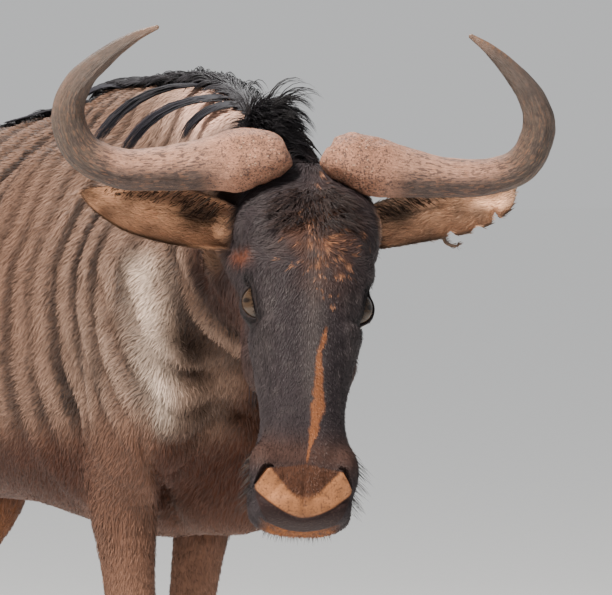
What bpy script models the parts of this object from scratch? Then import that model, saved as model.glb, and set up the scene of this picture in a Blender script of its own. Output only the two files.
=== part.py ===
"""A life-size standing wildebeest, as a museum model: one whole animal, parted by thin cuts.

Metres, +Z up. The trunk faces -Y, the animal's right side is at -X, and the soles stand at z = 0.
The flesh is one smooth field (negative inside), made of lofts with oval sections, limbs that
follow bones, and muscles. Each named part is meshed from that field inside its own region,
thinned to its own number of triangles and trimmed by planes that leave a thin gap.
Horns, ears, eyes, hooves and the long hair are solids of their own, set against the flesh.
"""

from math import cos, pi, radians, sin

import bmesh
import bpy
import numpy as np
from mathutils import Vector

# Driving dimensions
WITHERS = np.array([0.078, -0.232, 0.0])  # floor point under the withers, in the model's frame
HEAD_PLACE = np.array([-0.138, -0.597, 1.09])  # point between the eyes, from under the withers
HEAD_TURN = radians(-30.0)  # the face looks this far to the animal's right
NOSE_FORWARD = radians(24.0)  # how far the face leans from the vertical
HEAD_ROLL = radians(3.6)  # the crown tips this far to the animal's left

GAP = 0.0004  # between neighbouring parts
SHORTEST_EDGE = 0.00005
CUT_NECK = 0.30  # share of the way from withers to poll
CUT_POLL = (0.0, 0.06, -0.100)  # at the face: across, up it, out of it
POLL_SLANT = 0.44
CUT_LEGS = 0.735  # height of the cut below elbows and stifles
CUT_SHOULDER = 0.27  # behind the withers, between forequarters and barrel
CUT_LOIN = 0.72  # between barrel and hindquarters
CUT_DOCK = 1.128  # between hindquarters and tail
HOOF_TOP = 0.062
CLAW_HALF = (0.0185, 0.048)  # half width and half length of one half of a hoof
CLAW_APART = 0.0172
CLAW_BACK = 0.008
CLAW_RINGS = ((0.0, 1.0, 0.0), (0.012, 0.97, 0.002), (HOOF_TOP, 0.72, 0.016))  # height, size, set back
CLAW_SIDES = 16
HORN_SIDES = 14
EAR_COLUMNS = 6
EYE_RADIUS = 0.0205
EYE_PLACE = (0.0625, 0.002, 0.016)  # across, up the face, out of the face
EAR_WALL = 0.007
MANE_LEAN = radians(28.0)
LIMB_REACH = 0.15  # further than this from a limb its field plays no part

# What is meshed: the room round it, the mesh's cell and the most triangles it may keep
HEAD_REACH = (0.26, 0.30, 0.38)  # half sizes of the room at the head
HEAD_CELL = 0.009
HEAD_TRIANGLES = 1500
HEAD_SEED = (0.0, 0.0, 0.09)  # a point by the face, in the face's axes
LEG_ROOM = (0.11, 0.19, 0.0)  # beside a leg's bones
LEG_HEIGHTS = (-0.06, 0.10)  # room under the floor, and over the cut of the legs
LEG_CELL = 0.009
LEG_TRIANGLES = 400
LEG_SEED = 0.5  # height of a point by the leg
# Low and high corner of the room, the mesh's cell, most triangles, and a point by the part
BODY_PARTS = {
    "neck": ((-0.40, -0.75, 0.72), (0.25, 0.20, 1.50), 0.014, 700, (-0.10, -0.30, 1.20)),
    "forequarters": ((-0.34, -0.48, 0.60), (0.34, 0.42, 1.48), 0.017, 1000, (0.0, 0.1, 1.38)),
    "barrel": ((-0.34, 0.16, 0.60), (0.34, 0.84, 1.45), 0.018, 600, (0.0, 0.4, 1.3)),
    "hindquarters": ((-0.34, 0.60, 0.60), (0.34, 1.26, 1.40), 0.017, 800, (0.0, 0.9, 1.25)),
    "tail": ((-0.08, 1.02, 0.78), (0.08, 1.26, 1.24), 0.008, 150, (0.0, 1.15, 0.95)),
}
HAIR_PARTS = {
    "tail_brush": ((-0.08, 1.06, 0.34), (0.10, 1.30, 0.92), 0.010, 220, (0.0, 1.17, 0.6)),
    "mane": ((-0.26, -0.70, 1.16), (0.16, 0.52, 1.50), 0.012, 420, (-0.06, -0.3, 1.40)),
    "beard": ((-0.20, -0.62, 0.78), (0.10, -0.22, 1.12), 0.010, 220, (-0.04, -0.42, 0.88)),
}

# How wide neighbours blend into each other
BLEND_MUSCLE = 0.06
BLEND_NECK = 0.10
BLEND_LEG = 0.045
BLEND_TAIL = 0.03
BLEND_HEAD = 0.035
BLEND_FACE = 0.016
BLEND_HOLLOW = 0.008

# Trunk stations along Y from the withers: half width, height of the widest line, top, bottom,
# and the powers of the upper and lower half of the section (2 is an ellipse, less is a ridge)
TRUNK = (
    (-0.25, 0.120, 1.00, 1.250, 0.815, 1.9, 2.0),
    (-0.14, 0.172, 1.00, 1.318, 0.762, 1.7, 2.0),
    (0.00, 0.222, 1.00, 1.372, 0.760, 1.5, 2.0),
    (0.16, 0.250, 1.00, 1.352, 0.784, 1.6, 2.1),
    (0.38, 0.274, 1.00, 1.306, 0.786, 1.9, 2.1),
    (0.58, 0.268, 1.01, 1.280, 0.798, 2.0, 2.1),
    (0.76, 0.230, 1.04, 1.264, 0.846, 2.1, 2.1),
    (0.92, 0.195, 1.07, 1.246, 0.905, 2.2, 2.0),
    (1.03, 0.160, 1.07, 1.205, 0.960, 2.2, 2.0),
)
TRUNK_ENDS = (0.11, 0.085)

# Neck stations along its own axis: half width, middle, up to the crest, down to the throat, powers
NECK_FROM = np.array([0.0, -0.02, 1.075])
NECK_TO = np.array([-0.105, -0.475, 1.190])
NECK = (
    (0.00, 0.178, 0.0, 0.285, -0.270, 1.6, 2.0),
    (0.17, 0.140, 0.0, 0.245, -0.222, 1.6, 2.0),
    (0.33, 0.108, 0.0, 0.198, -0.172, 1.7, 1.9),
    (0.48, 0.092, 0.0, 0.150, -0.130, 1.9, 2.0),
)
NECK_ENDS = (0.05, 0.06)

# Head stations up the face from the line between the eyes: half width, depth of the widest line,
# face, throat side, powers of the face half and of the jaw half
HEAD = (
    (-0.276, 0.069, -0.015, 0.038, -0.070, 2.6, 2.5),
    (-0.245, 0.0695, -0.012, 0.054, -0.074, 2.6, 2.4),
    (-0.200, 0.0625, -0.010, 0.060, -0.076, 2.4, 2.2),
    (-0.165, 0.0560, -0.008, 0.063, -0.083, 2.3, 2.0),
    (-0.120, 0.0600, -0.005, 0.070, -0.098, 2.3, 1.9),
    (-0.075, 0.0690, -0.003, 0.078, -0.116, 2.3, 1.8),
    (-0.030, 0.0770, 0.000, 0.087, -0.134, 2.2, 1.8),
    (0.020, 0.0820, 0.002, 0.092, -0.146, 2.3, 1.8),
    (0.080, 0.0955, 0.000, 0.087, -0.146, 2.4, 1.9),
    (0.130, 0.0950, -0.010, 0.070, -0.135, 2.3, 2.0),
    (0.170, 0.0800, -0.020, 0.045, -0.120, 2.2, 2.0),
)
HEAD_ENDS = (0.030, 0.032)

# Leg stations down the bones: x outward, y, z, half width, half depth
FORELEG = (
    (0.150, -0.07, 1.10, 0.060, 0.115),
    (0.160, -0.11, 0.97, 0.070, 0.105),
    (0.150, -0.03, 0.85, 0.050, 0.070),
    (0.140, -0.02, 0.74, 0.038, 0.047),
    (0.130, -0.02, 0.60, 0.031, 0.036),
    (0.122, -0.02, 0.48, 0.029, 0.033),
    (0.120, -0.02, 0.42, 0.033, 0.037),
    (0.119, -0.02, 0.37, 0.027, 0.030),
    (0.117, -0.02, 0.25, 0.021, 0.026),
    (0.116, -0.02, 0.15, 0.023, 0.029),
    (0.116, -0.025, 0.115, 0.027, 0.032),
    (0.116, -0.045, 0.070, 0.026, 0.028),
    (0.116, -0.055, 0.040, 0.027, 0.030),
)
HINDLEG = (
    (0.105, 0.93, 1.10, 0.085, 0.150),
    (0.130, 0.90, 0.97, 0.082, 0.165),
    (0.165, 0.86, 0.84, 0.066, 0.125),
    (0.155, 0.90, 0.73, 0.050, 0.080),
    (0.132, 0.97, 0.62, 0.035, 0.050),
    (0.124, 1.03, 0.53, 0.031, 0.042),
    (0.122, 1.045, 0.47, 0.030, 0.040),
    (0.120, 1.035, 0.38, 0.024, 0.030),
    (0.119, 1.020, 0.24, 0.021, 0.027),
    (0.118, 1.010, 0.15, 0.023, 0.030),
    (0.118, 1.000, 0.115, 0.027, 0.033),
    (0.118, 0.980, 0.070, 0.026, 0.029),
    (0.118, 0.970, 0.040, 0.027, 0.030),
)
# Side (+1 is the animal's left), stations, where the leg hangs from, how far the foot is set back
LEGS = {
    "foreleg_right": (-1, FORELEG, 1.05, -0.15, -0.030),
    "foreleg_left": (1, FORELEG, 1.05, 0.04, 0.130),
    "hindleg_right": (-1, HINDLEG, 1.10, 0.01, 0.060),
    "hindleg_left": (1, HINDLEG, 1.10, -0.13, -0.200),
}

# Muscles and bony points as ovals: centre, half sizes; mirrored where x is not zero
MUSCLES = (
    ((0.122, -0.215, 0.985), (0.060, 0.070, 0.105)),  # point of the shoulder
    ((0.138, -0.02, 1.10), (0.068, 0.150, 0.190)),  # shoulder blade
    ((0.0, -0.23, 0.870), (0.090, 0.110, 0.105)),  # brisket
    ((0.135, 0.88, 1.08), (0.095, 0.175, 0.150)),  # haunch
    ((0.105, 1.02, 1.03), (0.065, 0.080, 0.140)),  # buttock
)
HEAD_MUSCLES = (
    ((0.062, 0.036, 0.022), (0.027, 0.022, 0.034)),  # brow
    ((0.048, -0.020, -0.085), (0.032, 0.070, 0.055)),  # cheek
    ((0.052, -0.232, 0.022), (0.021, 0.030, 0.030)),  # nostril wing
    ((0.0, -0.262, -0.040), (0.060, 0.034, 0.040)),  # chin and lips
)
HEAD_HOLLOWS = (
    ((0.090, 0.002, 0.044), (0.029, 0.028, 0.032)),  # eye socket
    ((0.072, -0.238, 0.030), (0.010, 0.015, 0.016)),  # nostril
)

TAIL = (
    (0.0, 1.070, 1.180, 0.040, 0.036),
    (0.0, 1.130, 1.150, 0.030, 0.028),
    (0.0, 1.160, 1.070, 0.023, 0.023),
    (0.0, 1.168, 0.960, 0.020, 0.020),
    (0.002, 1.172, 0.860, 0.021, 0.022),
    (0.005, 1.178, 0.740, 0.036, 0.042),
    (0.010, 1.180, 0.610, 0.044, 0.050),
    (0.014, 1.172, 0.490, 0.032, 0.036),
    (0.016, 1.165, 0.400, 0.010, 0.012),
)
CUT_BRUSH = 0.86

# Long hair: the mane's ridge from the back over the withers to the forelock, and the beard
MANE = (
    (-0.004, 0.42, 1.288, 0.014, 0.026),
    (-0.012, 0.20, 1.332, 0.020, 0.046),
    (-0.022, 0.04, 1.346, 0.024, 0.062),
    (-0.040, -0.10, 1.342, 0.027, 0.072),
    (-0.068, -0.24, 1.330, 0.029, 0.076),
    (-0.098, -0.36, 1.328, 0.031, 0.072),
    (-0.122, -0.46, 1.328, 0.036, 0.060),
    (-0.142, -0.530, 1.314, 0.040, 0.045),
)
BEARD = (
    (0.0, -0.325, 0.885, 0.016, 0.045),
    (-0.035, -0.385, 0.940, 0.020, 0.068),
    (-0.070, -0.430, 0.985, 0.022, 0.072),
    (-0.100, -0.490, 0.985, 0.018, 0.055),
    (-0.115, -0.530, 0.960, 0.012, 0.030),
)

# Horn centre lines in an upright frame at the head: across, up, forward, and the radius there
HORN_RIGHT = (
    (-0.018, 0.192, -0.034, 0.010),
    (-0.026, 0.190, -0.033, 0.029),
    (-0.048, 0.189, -0.032, 0.0405),
    (-0.085, 0.189, -0.034, 0.0425),
    (-0.125, 0.185, -0.034, 0.035),
    (-0.185, 0.179, -0.032, 0.0290),
    (-0.242, 0.180, -0.026, 0.0265),
    (-0.290, 0.203, -0.018, 0.0245),
    (-0.309, 0.248, -0.006, 0.0220),
    (-0.297, 0.290, 0.008, 0.0180),
    (-0.262, 0.325, 0.020, 0.0125),
    (-0.225, 0.350, 0.028, 0.0072),
    (-0.193, 0.364, 0.032, 0.0026),
)
HORN_LEFT = (
    (0.024, 0.196, -0.034, 0.010),
    (0.032, 0.192, -0.033, 0.029),
    (0.056, 0.186, -0.032, 0.0400),
    (0.092, 0.180, -0.034, 0.0400),
    (0.135, 0.173, -0.034, 0.0330),
    (0.185, 0.167, -0.032, 0.0270),
    (0.240, 0.168, -0.028, 0.0240),
    (0.284, 0.184, -0.022, 0.0235),
    (0.305, 0.226, -0.010, 0.0220),
    (0.297, 0.266, 0.004, 0.0185),
    (0.270, 0.302, 0.018, 0.0135),
    (0.239, 0.332, 0.028, 0.0080),
    (0.209, 0.353, 0.034, 0.0028),
)

# Ears in the same upright frame: root, tip, the edges as (along, upper, lower) half widths, and
# how deep the tear in the lower edge is, with its place and half length along the ear
EAR_RIGHT = {
    "root": (-0.080, 0.098, -0.058),
    "tip": (-0.288, 0.148, -0.080),
    "edges": ((0.0, 0.030, 0.030), (0.2, 0.034, 0.036), (0.45, 0.036, 0.040), (0.7, 0.026, 0.038),
              (0.9, 0.012, 0.022), (1.0, 0.002, 0.002)),
    "tear": 0.0,
}
EAR_LEFT = {
    "root": (0.080, 0.098, -0.058),
    "tip": (0.282, 0.153, -0.080),
    "edges": ((0.0, 0.030, 0.030), (0.2, 0.030, 0.033), (0.45, 0.031, 0.032), (0.7, 0.026, 0.030),
              (0.9, 0.012, 0.026), (1.0, 0.002, 0.012)),
    "tear": 0.012,
}
TEAR_AT = (0.72, 0.05)
EAR_CUP = 0.9  # depth of the cup against its half width, at the root
EAR_FLATTER = 0.35  # how much shallower the cup is at the tip

# Finishes: colour, roughness
HIDE = ((0.125, 0.085, 0.065), 0.75)
DARK_HIDE = ((0.045, 0.035, 0.032), 0.75)
EAR_HAIR = ((0.36, 0.20, 0.11), 0.8)
HORN = ((0.20, 0.15, 0.125), 0.5)
HOOF = ((0.045, 0.038, 0.034), 0.45)
LONG_HAIR = ((0.018, 0.015, 0.014), 0.6)
EYE = ((0.035, 0.018, 0.010), 0.08)


def clear_scene():
    for item in list(bpy.data.objects):
        bpy.data.objects.remove(item, do_unlink=True)


def material(name, finish):
    """A Principled material of one colour and roughness, made once."""
    found = bpy.data.materials.get(name)
    if found:
        return found
    made = bpy.data.materials.new(name)
    made.use_nodes = True
    shader = made.node_tree.nodes["Principled BSDF"]
    shader.inputs["Base Color"].default_value = (*finish[0], 1.0)
    shader.inputs["Roughness"].default_value = finish[1]
    shader.inputs["Metallic"].default_value = 0.0
    return made


def smooth_rows(rows, per_span=8):
    """Rows of numbers joined by a smooth curve through them (Catmull-Rom), sampled evenly."""
    rows = np.array(rows, float)
    before = np.vstack([2 * rows[0] - rows[1], rows[:-1]])
    after = np.vstack([rows[1:], 2 * rows[-1] - rows[-2]])
    slope = (after - before) / 2
    t = np.linspace(0, 1, per_span, endpoint=False)[None, :, None]
    p0, p1 = rows[:-1, None], rows[1:, None]
    m0, m1 = slope[:-1, None], slope[1:, None]
    spans = (
        (2 * t**3 - 3 * t**2 + 1) * p0
        + (t**3 - 2 * t**2 + t) * m0
        + (3 * t**2 - 2 * t**3) * p1
        + (t**3 - t**2) * m1
    )
    return np.vstack([spans.reshape(-1, rows.shape[1]), rows[-1:]])


def smooth_min(a, b, width):
    """The union of two fields, rounded where they meet over about this width."""
    mix = np.clip(0.5 + 0.5 * (b - a) / width, 0, 1)
    return b + (a - b) * mix - width * mix * (1 - mix)


def oval(points, centre, half):
    """Distance along the ray from an oval's centre to its surface."""
    offset = points - centre
    size = np.linalg.norm(offset, axis=1) + 1e-9
    scaled = np.linalg.norm(offset / half, axis=1) + 1e-9
    return size * (1 - 1 / scaled)


def loft(points, origin, axes, rows, ends):
    """A straight loft: each section is two half ovals, with their own heights and powers.
    Beyond the first and last station it closes as a rounded cap of the given length."""
    local = (points - origin) @ axes.T
    table = smooth_rows(rows)
    along = np.clip(local[:, 1], table[0, 0], table[-1, 0])
    wide, middle, top, bottom, upper, lower = (
        np.interp(along, table[:, 0], table[:, k]) for k in range(1, 7)
    )
    rise = local[:, 2] - middle
    high = np.where(rise > 0, top - middle, middle - bottom)
    power = np.where(rise > 0, upper, lower)
    over = local[:, 1] - along
    cap = np.where(over > 0, ends[1], ends[0])
    size = np.sqrt(local[:, 0] ** 2 + rise**2 + over**2) + 1e-9
    scaled = (
        (np.abs(local[:, 0]) / wide) ** power
        + (np.abs(rise) / high) ** power
        + (np.abs(over) / cap) ** power
    ) ** (1 / power) + 1e-9
    return size * (1 - 1 / scaled)


def limb(points, rows, side=(1.0, 0.0, 0.0)):
    """A bent limb: the nearest place on its path, with an oval section wide along side."""
    table = smooth_rows(rows, 4)
    reach = table[:, 3:].max() + LIMB_REACH
    low, high = table[:, :3].min(0) - reach, table[:, :3].max(0) + reach
    near = ((points > low) & (points < high)).all(1)
    field = np.full(len(points), LIMB_REACH)
    field[near] = limb_distance(points[near], table, np.array(side))
    return field


def limb_distance(points, table, side):
    """The least, over the path's straight pieces, of the distance to each piece's oval section."""
    nearest = np.full(len(points), LIMB_REACH)
    for start, end in zip(table[:-1], table[1:]):
        step = end[:3] - start[:3]
        t = np.clip((points - start[:3]) @ step / (step @ step), 0, 1)
        offset = points - (start[:3] + t[:, None] * step)
        half = start[3:5] + t[:, None] * (end[3:5] - start[3:5])
        across = offset @ side
        size = np.linalg.norm(offset, axis=1) + 1e-9
        rest = np.sqrt(np.maximum(size**2 - across**2, 0))
        scaled = np.hypot(across / half[:, 0], rest / half[:, 1]) + 1e-9
        nearest = np.minimum(nearest, size * (1 - 1 / scaled))
    return nearest


def head_axes():
    """Two frames at the head, as rows: the leaning face, and the same facing kept upright.
    Across to the animal's left, then up (the face), then forward (out of the face)."""
    forward = np.array([sin(HEAD_TURN), -cos(HEAD_TURN), 0.0])
    across = np.array([cos(HEAD_TURN), sin(HEAD_TURN), 0.0])
    up = np.array([0.0, 0.0, 1.0])
    tipped_across = cos(HEAD_ROLL) * across - sin(HEAD_ROLL) * up
    tipped_up = cos(HEAD_ROLL) * up + sin(HEAD_ROLL) * across
    lean_up = cos(NOSE_FORWARD) * tipped_up - sin(NOSE_FORWARD) * forward
    lean_out = cos(NOSE_FORWARD) * forward + sin(NOSE_FORWARD) * tipped_up
    return np.array([tipped_across, lean_up, lean_out]), np.array([across, up, forward])


FACE_AXES, UPRIGHT_AXES = head_axes()


def neck_axes():
    """Rows: across, along the neck, up towards the crest."""
    along = NECK_TO - NECK_FROM
    along /= np.linalg.norm(along)
    across = -np.cross([0.0, 0.0, 1.0], along)
    across /= np.linalg.norm(across)
    return np.array([across, along, np.cross(along, across) * -1.0])


def leg_rows(side, rows, hang, root_shift, foot_shift):
    """The stations of one leg, swung fore or aft from where it hangs, on its side."""
    placed = []
    for x, y, z, wide, deep in rows:
        swing = np.clip((hang - z) / hang, 0, 1)
        placed.append((side * x, y + root_shift + foot_shift * swing, z, wide, deep))
    return placed


def head_field(points):
    field = loft(points, HEAD_PLACE, FACE_AXES, HEAD, HEAD_ENDS)
    local = (points - HEAD_PLACE) @ FACE_AXES.T
    local[:, 0] = np.abs(local[:, 0])
    for centre, half in HEAD_MUSCLES:
        field = smooth_min(field, oval(local, np.array(centre), np.array(half)), BLEND_FACE)
    for centre, half in HEAD_HOLLOWS:
        field = -smooth_min(-field, oval(local, np.array(centre), np.array(half)), BLEND_HOLLOW)
    return field


def body_field(points):
    """Negative inside the flesh, out to the tips of the short coat; from under the withers."""
    field = loft(points, np.zeros(3), np.eye(3), TRUNK, TRUNK_ENDS)
    folded = points.copy()
    folded[:, 0] = np.abs(folded[:, 0])
    for centre, half in MUSCLES:
        field = smooth_min(field, oval(folded, np.array(centre), np.array(half)), BLEND_MUSCLE)
    neck = loft(points, NECK_FROM, neck_axes(), NECK, NECK_ENDS)
    field = smooth_min(field, neck, BLEND_NECK)
    for leg in LEGS.values():
        field = smooth_min(field, limb(points, leg_rows(*leg)), BLEND_LEG)
    field = smooth_min(field, limb(points, TAIL), BLEND_TAIL)
    return smooth_min(field, head_field(points), BLEND_HEAD)


def net(field, low, high, cell):
    """Closed quads where the field is zero: one point in each cell that the surface crosses,
    at the middle of its edge crossings, moved on to the surface, and a quad round each edge."""
    counts = np.ceil((np.array(high) - low) / cell).astype(int) + 1
    axes = [low[k] + cell * np.arange(counts[k]) for k in range(3)]
    grid = np.stack(np.meshgrid(*axes, indexing="ij"), -1).reshape(-1, 3)
    value = field(grid).reshape(counts)
    total = np.zeros((*(counts - 1), 3))
    hits = np.zeros(counts - 1)
    corner = np.stack(np.meshgrid(*(np.arange(n - 1) for n in counts), indexing="ij"), -1)
    for k in range(3):
        others = [j for j in range(3) if j != k]
        for shift in ((0, 0), (1, 0), (0, 1), (1, 1)):
            move = np.zeros(3, int)
            move[others] = shift
            first = value[tuple(slice(m, m + n - 1) for m, n in zip(move, counts))]
            move_end = move + np.eye(3, dtype=int)[k]
            second = value[tuple(slice(m, m + n - 1) for m, n in zip(move_end, counts))]
            crossed = (first < 0) != (second < 0)
            share = np.where(crossed, first / np.where(crossed, first - second, 1), 0)
            place = corner + move + share[..., None] * np.eye(3)[k]
            total += place * crossed[..., None]
            hits += crossed
    used = hits > 0
    index = np.full(used.shape, -1)
    index[used] = np.arange(used.sum())
    points = np.array(low) + cell * total[used] / hits[used][:, None]
    quads = []
    for k in range(3):
        a, b = [(1, 2), (2, 0), (0, 1)][k]
        inner = [slice(1, -1)] * 3
        inner[k] = slice(0, -1)
        after = list(inner)
        after[k] = slice(1, None)
        first, second = value[tuple(inner)], value[tuple(after)]
        for inward in (True, False):
            edge = np.argwhere((first < 0) & (second >= 0) if inward else (first >= 0) & (second < 0))
            edge += [0 if j == k else 1 for j in range(3)]
            ring = []
            for da, db in ((1, 1), (0, 1), (0, 0), (1, 0)):
                cell_at = edge.copy()
                cell_at[:, a] -= da
                cell_at[:, b] -= db
                ring.append(index[tuple(cell_at.T)])
            quads.append(np.stack(ring if inward else ring[::-1], 1))
    for _ in range(2):
        points = on_surface(field, points, cell / 2)
    return points, np.vstack(quads)


def on_surface(field, points, most):
    """Points moved along the field's slope towards where it is zero."""
    step = 0.0005
    here = field(points)
    slope = np.stack([(field(points + step * axis) - here) / step for axis in np.eye(3)], 1)
    steep = (slope**2).sum(1) + 1e-6
    move = -(here / steep)[:, None] * slope
    length = np.linalg.norm(move, axis=1)
    move *= np.minimum(1, most / (length + 1e-12))[:, None]
    return points + move


def solid(name, points, faces, finish):
    """A mesh object from points below the withers, set in the model's frame."""
    mesh = bpy.data.meshes.new(name)
    mesh.from_pydata((points + WITHERS).tolist(), [], [list(map(int, f)) for f in faces])
    made = bpy.data.objects.new(name, mesh)
    bpy.context.scene.collection.objects.link(made)
    made.data.materials.append(material(*finish))
    mesh.shade_smooth()
    return made


def apply_modifiers(made):
    """The object's mesh as its modifiers leave it, with no modifier left."""
    graph = bpy.context.evaluated_depsgraph_get()
    mesh = bpy.data.meshes.new_from_object(made.evaluated_get(graph))
    made.modifiers.clear()
    old = made.data
    made.data = mesh
    bpy.data.meshes.remove(old)
    mesh.name = made.name


def thin(made, triangles):
    """Fewer triangles, with the shape kept as well as they allow."""
    count = sum(len(face.vertices) - 2 for face in made.data.polygons)
    if count > triangles:
        less = made.modifiers.new("fewer", "DECIMATE")
        less.ratio = triangles / count
        apply_modifiers(made)


def trim(made, planes, seed):
    """Cut by planes (point, outward normal), each cut closed flat, keeping the body nearest seed."""
    work = bmesh.new()
    work.from_mesh(made.data)
    for place, outward in planes:
        outward = Vector(outward).normalized()
        co = Vector(WITHERS) + Vector(place) - outward * (GAP / 2)
        geometry = work.verts[:] + work.edges[:] + work.faces[:]
        bmesh.ops.bisect_plane(
            work, geom=geometry, dist=1e-6, plane_co=co, plane_no=outward, clear_outer=True
        )
        rim = [edge for edge in work.edges if edge.is_boundary]
        bmesh.ops.holes_fill(work, edges=rim, sides=0)
    keep_nearest(work, Vector(WITHERS) + Vector(seed))
    bmesh.ops.triangulate(work, faces=work.faces[:])
    bmesh.ops.remove_doubles(work, verts=work.verts[:], dist=SHORTEST_EDGE)
    bmesh.ops.dissolve_degenerate(work, dist=SHORTEST_EDGE, edges=work.edges[:])
    bmesh.ops.recalc_face_normals(work, faces=work.faces[:])
    work.to_mesh(made.data)
    work.free()
    made.data.shade_smooth()


def keep_nearest(work, seed):
    """Only the connected body with the point nearest to seed stays."""
    start = min(work.verts, key=lambda vert: (vert.co - seed).length_squared)
    kept, front = {start}, [start]
    while front:
        vert = front.pop()
        for edge in vert.link_edges:
            other = edge.other_vert(vert)
            if other not in kept:
                kept.add(other)
                front.append(other)
    bmesh.ops.delete(work, geom=[v for v in work.verts if v not in kept], context="VERTS")


def flesh(name, low, high, cell, triangles, planes, seed, finish=("hide", HIDE)):
    """One part of the flesh: the field inside a box that reaches past the part's cuts."""
    low, high = np.array(low), np.array(high)
    middle, half = (low + high) / 2, (high - low) / 2 - 1.5 * cell

    def boxed(points):
        return np.maximum(body_field(points), (np.abs(points - middle) - half).max(1))

    made = solid(name, *net(boxed, low, high, cell), finish)
    thin(made, triangles)
    trim(made, planes, seed)
    return made


def carve(made, others):
    """Take the neighbours, a gap thicker all round, out of this part."""
    for other in others:
        guide = bpy.data.objects.new("guide", other.data.copy())
        bpy.context.scene.collection.objects.link(guide)
        swell = guide.modifiers.new("gap", "DISPLACE")
        swell.strength = 1.5 * GAP
        swell.mid_level = 0.0
        apply_modifiers(guide)
        cut = made.modifiers.new("meets", "BOOLEAN")
        cut.operation = "DIFFERENCE"
        cut.solver = "EXACT"
        cut.object = guide
        apply_modifiers(made)
        bpy.data.objects.remove(guide, do_unlink=True)
    work = bmesh.new()
    work.from_mesh(made.data)
    bmesh.ops.remove_doubles(work, verts=work.verts[:], dist=SHORTEST_EDGE)
    bmesh.ops.dissolve_degenerate(work, dist=SHORTEST_EDGE, edges=work.edges[:])
    work.to_mesh(made.data)
    work.free()


def upright(place):
    """A point given across, up and forward of the point between the eyes."""
    return HEAD_PLACE + np.array(place) @ UPRIGHT_AXES


def face_point(place):
    """A point given across, up the face and out of it."""
    return HEAD_PLACE + np.array(place) @ FACE_AXES


def tube(rows, sides, per_span):
    """Rings of points round a path with radii; returns points and faces, closed at both ends."""
    table = smooth_rows(rows, per_span)
    centres, radii = table[:, :3], table[:, 3]
    tangent = np.gradient(centres, axis=0)
    tangent /= np.linalg.norm(tangent, axis=1)[:, None]
    normal = np.cross(UPRIGHT_AXES[2], tangent)
    normal /= np.linalg.norm(normal, axis=1)[:, None]
    other = np.cross(tangent, normal)
    turn = 2 * pi * np.arange(sides) / sides
    ring = np.cos(turn)[None, :, None] * normal[:, None] + np.sin(turn)[None, :, None] * other[:, None]
    points = (centres[:, None] + radii[:, None, None] * ring).reshape(-1, 3)
    faces = ring_faces(len(table), sides)
    return points, faces


def ring_faces(rings, sides):
    """Quads between rings of points, and one flat face at each end."""
    faces = []
    for i in range(rings - 1):
        for j in range(sides):
            k = (j + 1) % sides
            faces.append((i * sides + j, i * sides + k, (i + 1) * sides + k, (i + 1) * sides + j))
    faces.append(tuple(reversed(range(sides))))
    faces.append(tuple((rings - 1) * sides + j for j in range(sides)))
    return faces


def outward(made):
    """Faces turned to point out of the closed mesh."""
    work = bmesh.new()
    work.from_mesh(made.data)
    bmesh.ops.recalc_face_normals(work, faces=work.faces[:])
    bmesh.ops.triangulate(work, faces=work.faces[:])
    work.to_mesh(made.data)
    work.free()
    made.data.shade_smooth()


def make_horn(name, rows):
    placed = [(*upright(row[:3]), row[3]) for row in rows]
    made = solid(name, *tube(placed, HORN_SIDES, 2), ("horn", HORN))
    outward(made)
    return made


def make_ear(name, ear):
    """A cupped leaf: a grid along and across it, its back wall, and the edges closed."""
    root, tip = upright(ear["root"]), upright(ear["tip"])
    along = (tip - root) / np.linalg.norm(tip - root)
    out = UPRIGHT_AXES[2] - along * (UPRIGHT_AXES[2] @ along)
    out /= np.linalg.norm(out)
    up = np.cross(out, along)
    up *= np.sign(up[2])
    edges = smooth_rows(ear["edges"], 2)
    columns = EAR_COLUMNS
    across = np.linspace(-1, 1, columns + 1)[None, :]
    share, upper, lower = edges[:, 0:1], edges[:, 1:2], edges[:, 2:3]
    lower = lower - ear["tear"] * np.exp(-(((share - TEAR_AT[0]) / TEAR_AT[1]) ** 2))
    height = np.where(across > 0, across * upper, across * lower)
    deep = EAR_CUP * (1 - across**2) * np.minimum(upper, lower) * (1 - EAR_FLATTER * share)
    base = root + share[..., None] * (tip - root)
    front = base + height[..., None] * up - deep[..., None] * out
    back = front - out * EAR_WALL
    rows = len(edges)
    width = columns + 1
    points = np.vstack([front.reshape(-1, 3), back.reshape(-1, 3)])
    half = rows * width
    faces = []
    for i in range(rows - 1):
        for j in range(columns):
            a, b, c, d = i * width + j, i * width + j + 1, (i + 1) * width + j + 1, (i + 1) * width + j
            faces.append((a, b, c, d))
            faces.append((half + d, half + c, half + b, half + a))
    rim = [i * width for i in range(rows)] + [(rows - 1) * width + j for j in range(1, width)]
    rim += [i * width + columns for i in range(rows - 2, -1, -1)] + list(range(columns - 1, 0, -1))
    for a, b in zip(rim, rim[1:] + rim[:1]):
        faces.append((a, b, half + b, half + a))
    made = solid(name, points, faces, ("ear_hair", EAR_HAIR))
    outward(made)
    return made


def make_eye(name, side):
    """A ball, most of it in its socket."""
    centre = face_point((side * EYE_PLACE[0], *EYE_PLACE[1:]))
    work = bmesh.new()
    bmesh.ops.create_icosphere(work, subdivisions=2, radius=EYE_RADIUS)
    mesh = bpy.data.meshes.new(name)
    bmesh.ops.translate(work, verts=work.verts, vec=Vector(centre + WITHERS))
    work.to_mesh(mesh)
    work.free()
    made = bpy.data.objects.new(name, mesh)
    bpy.context.scene.collection.objects.link(made)
    mesh.materials.append(material("eye", EYE))
    mesh.shade_smooth()
    return made


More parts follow.
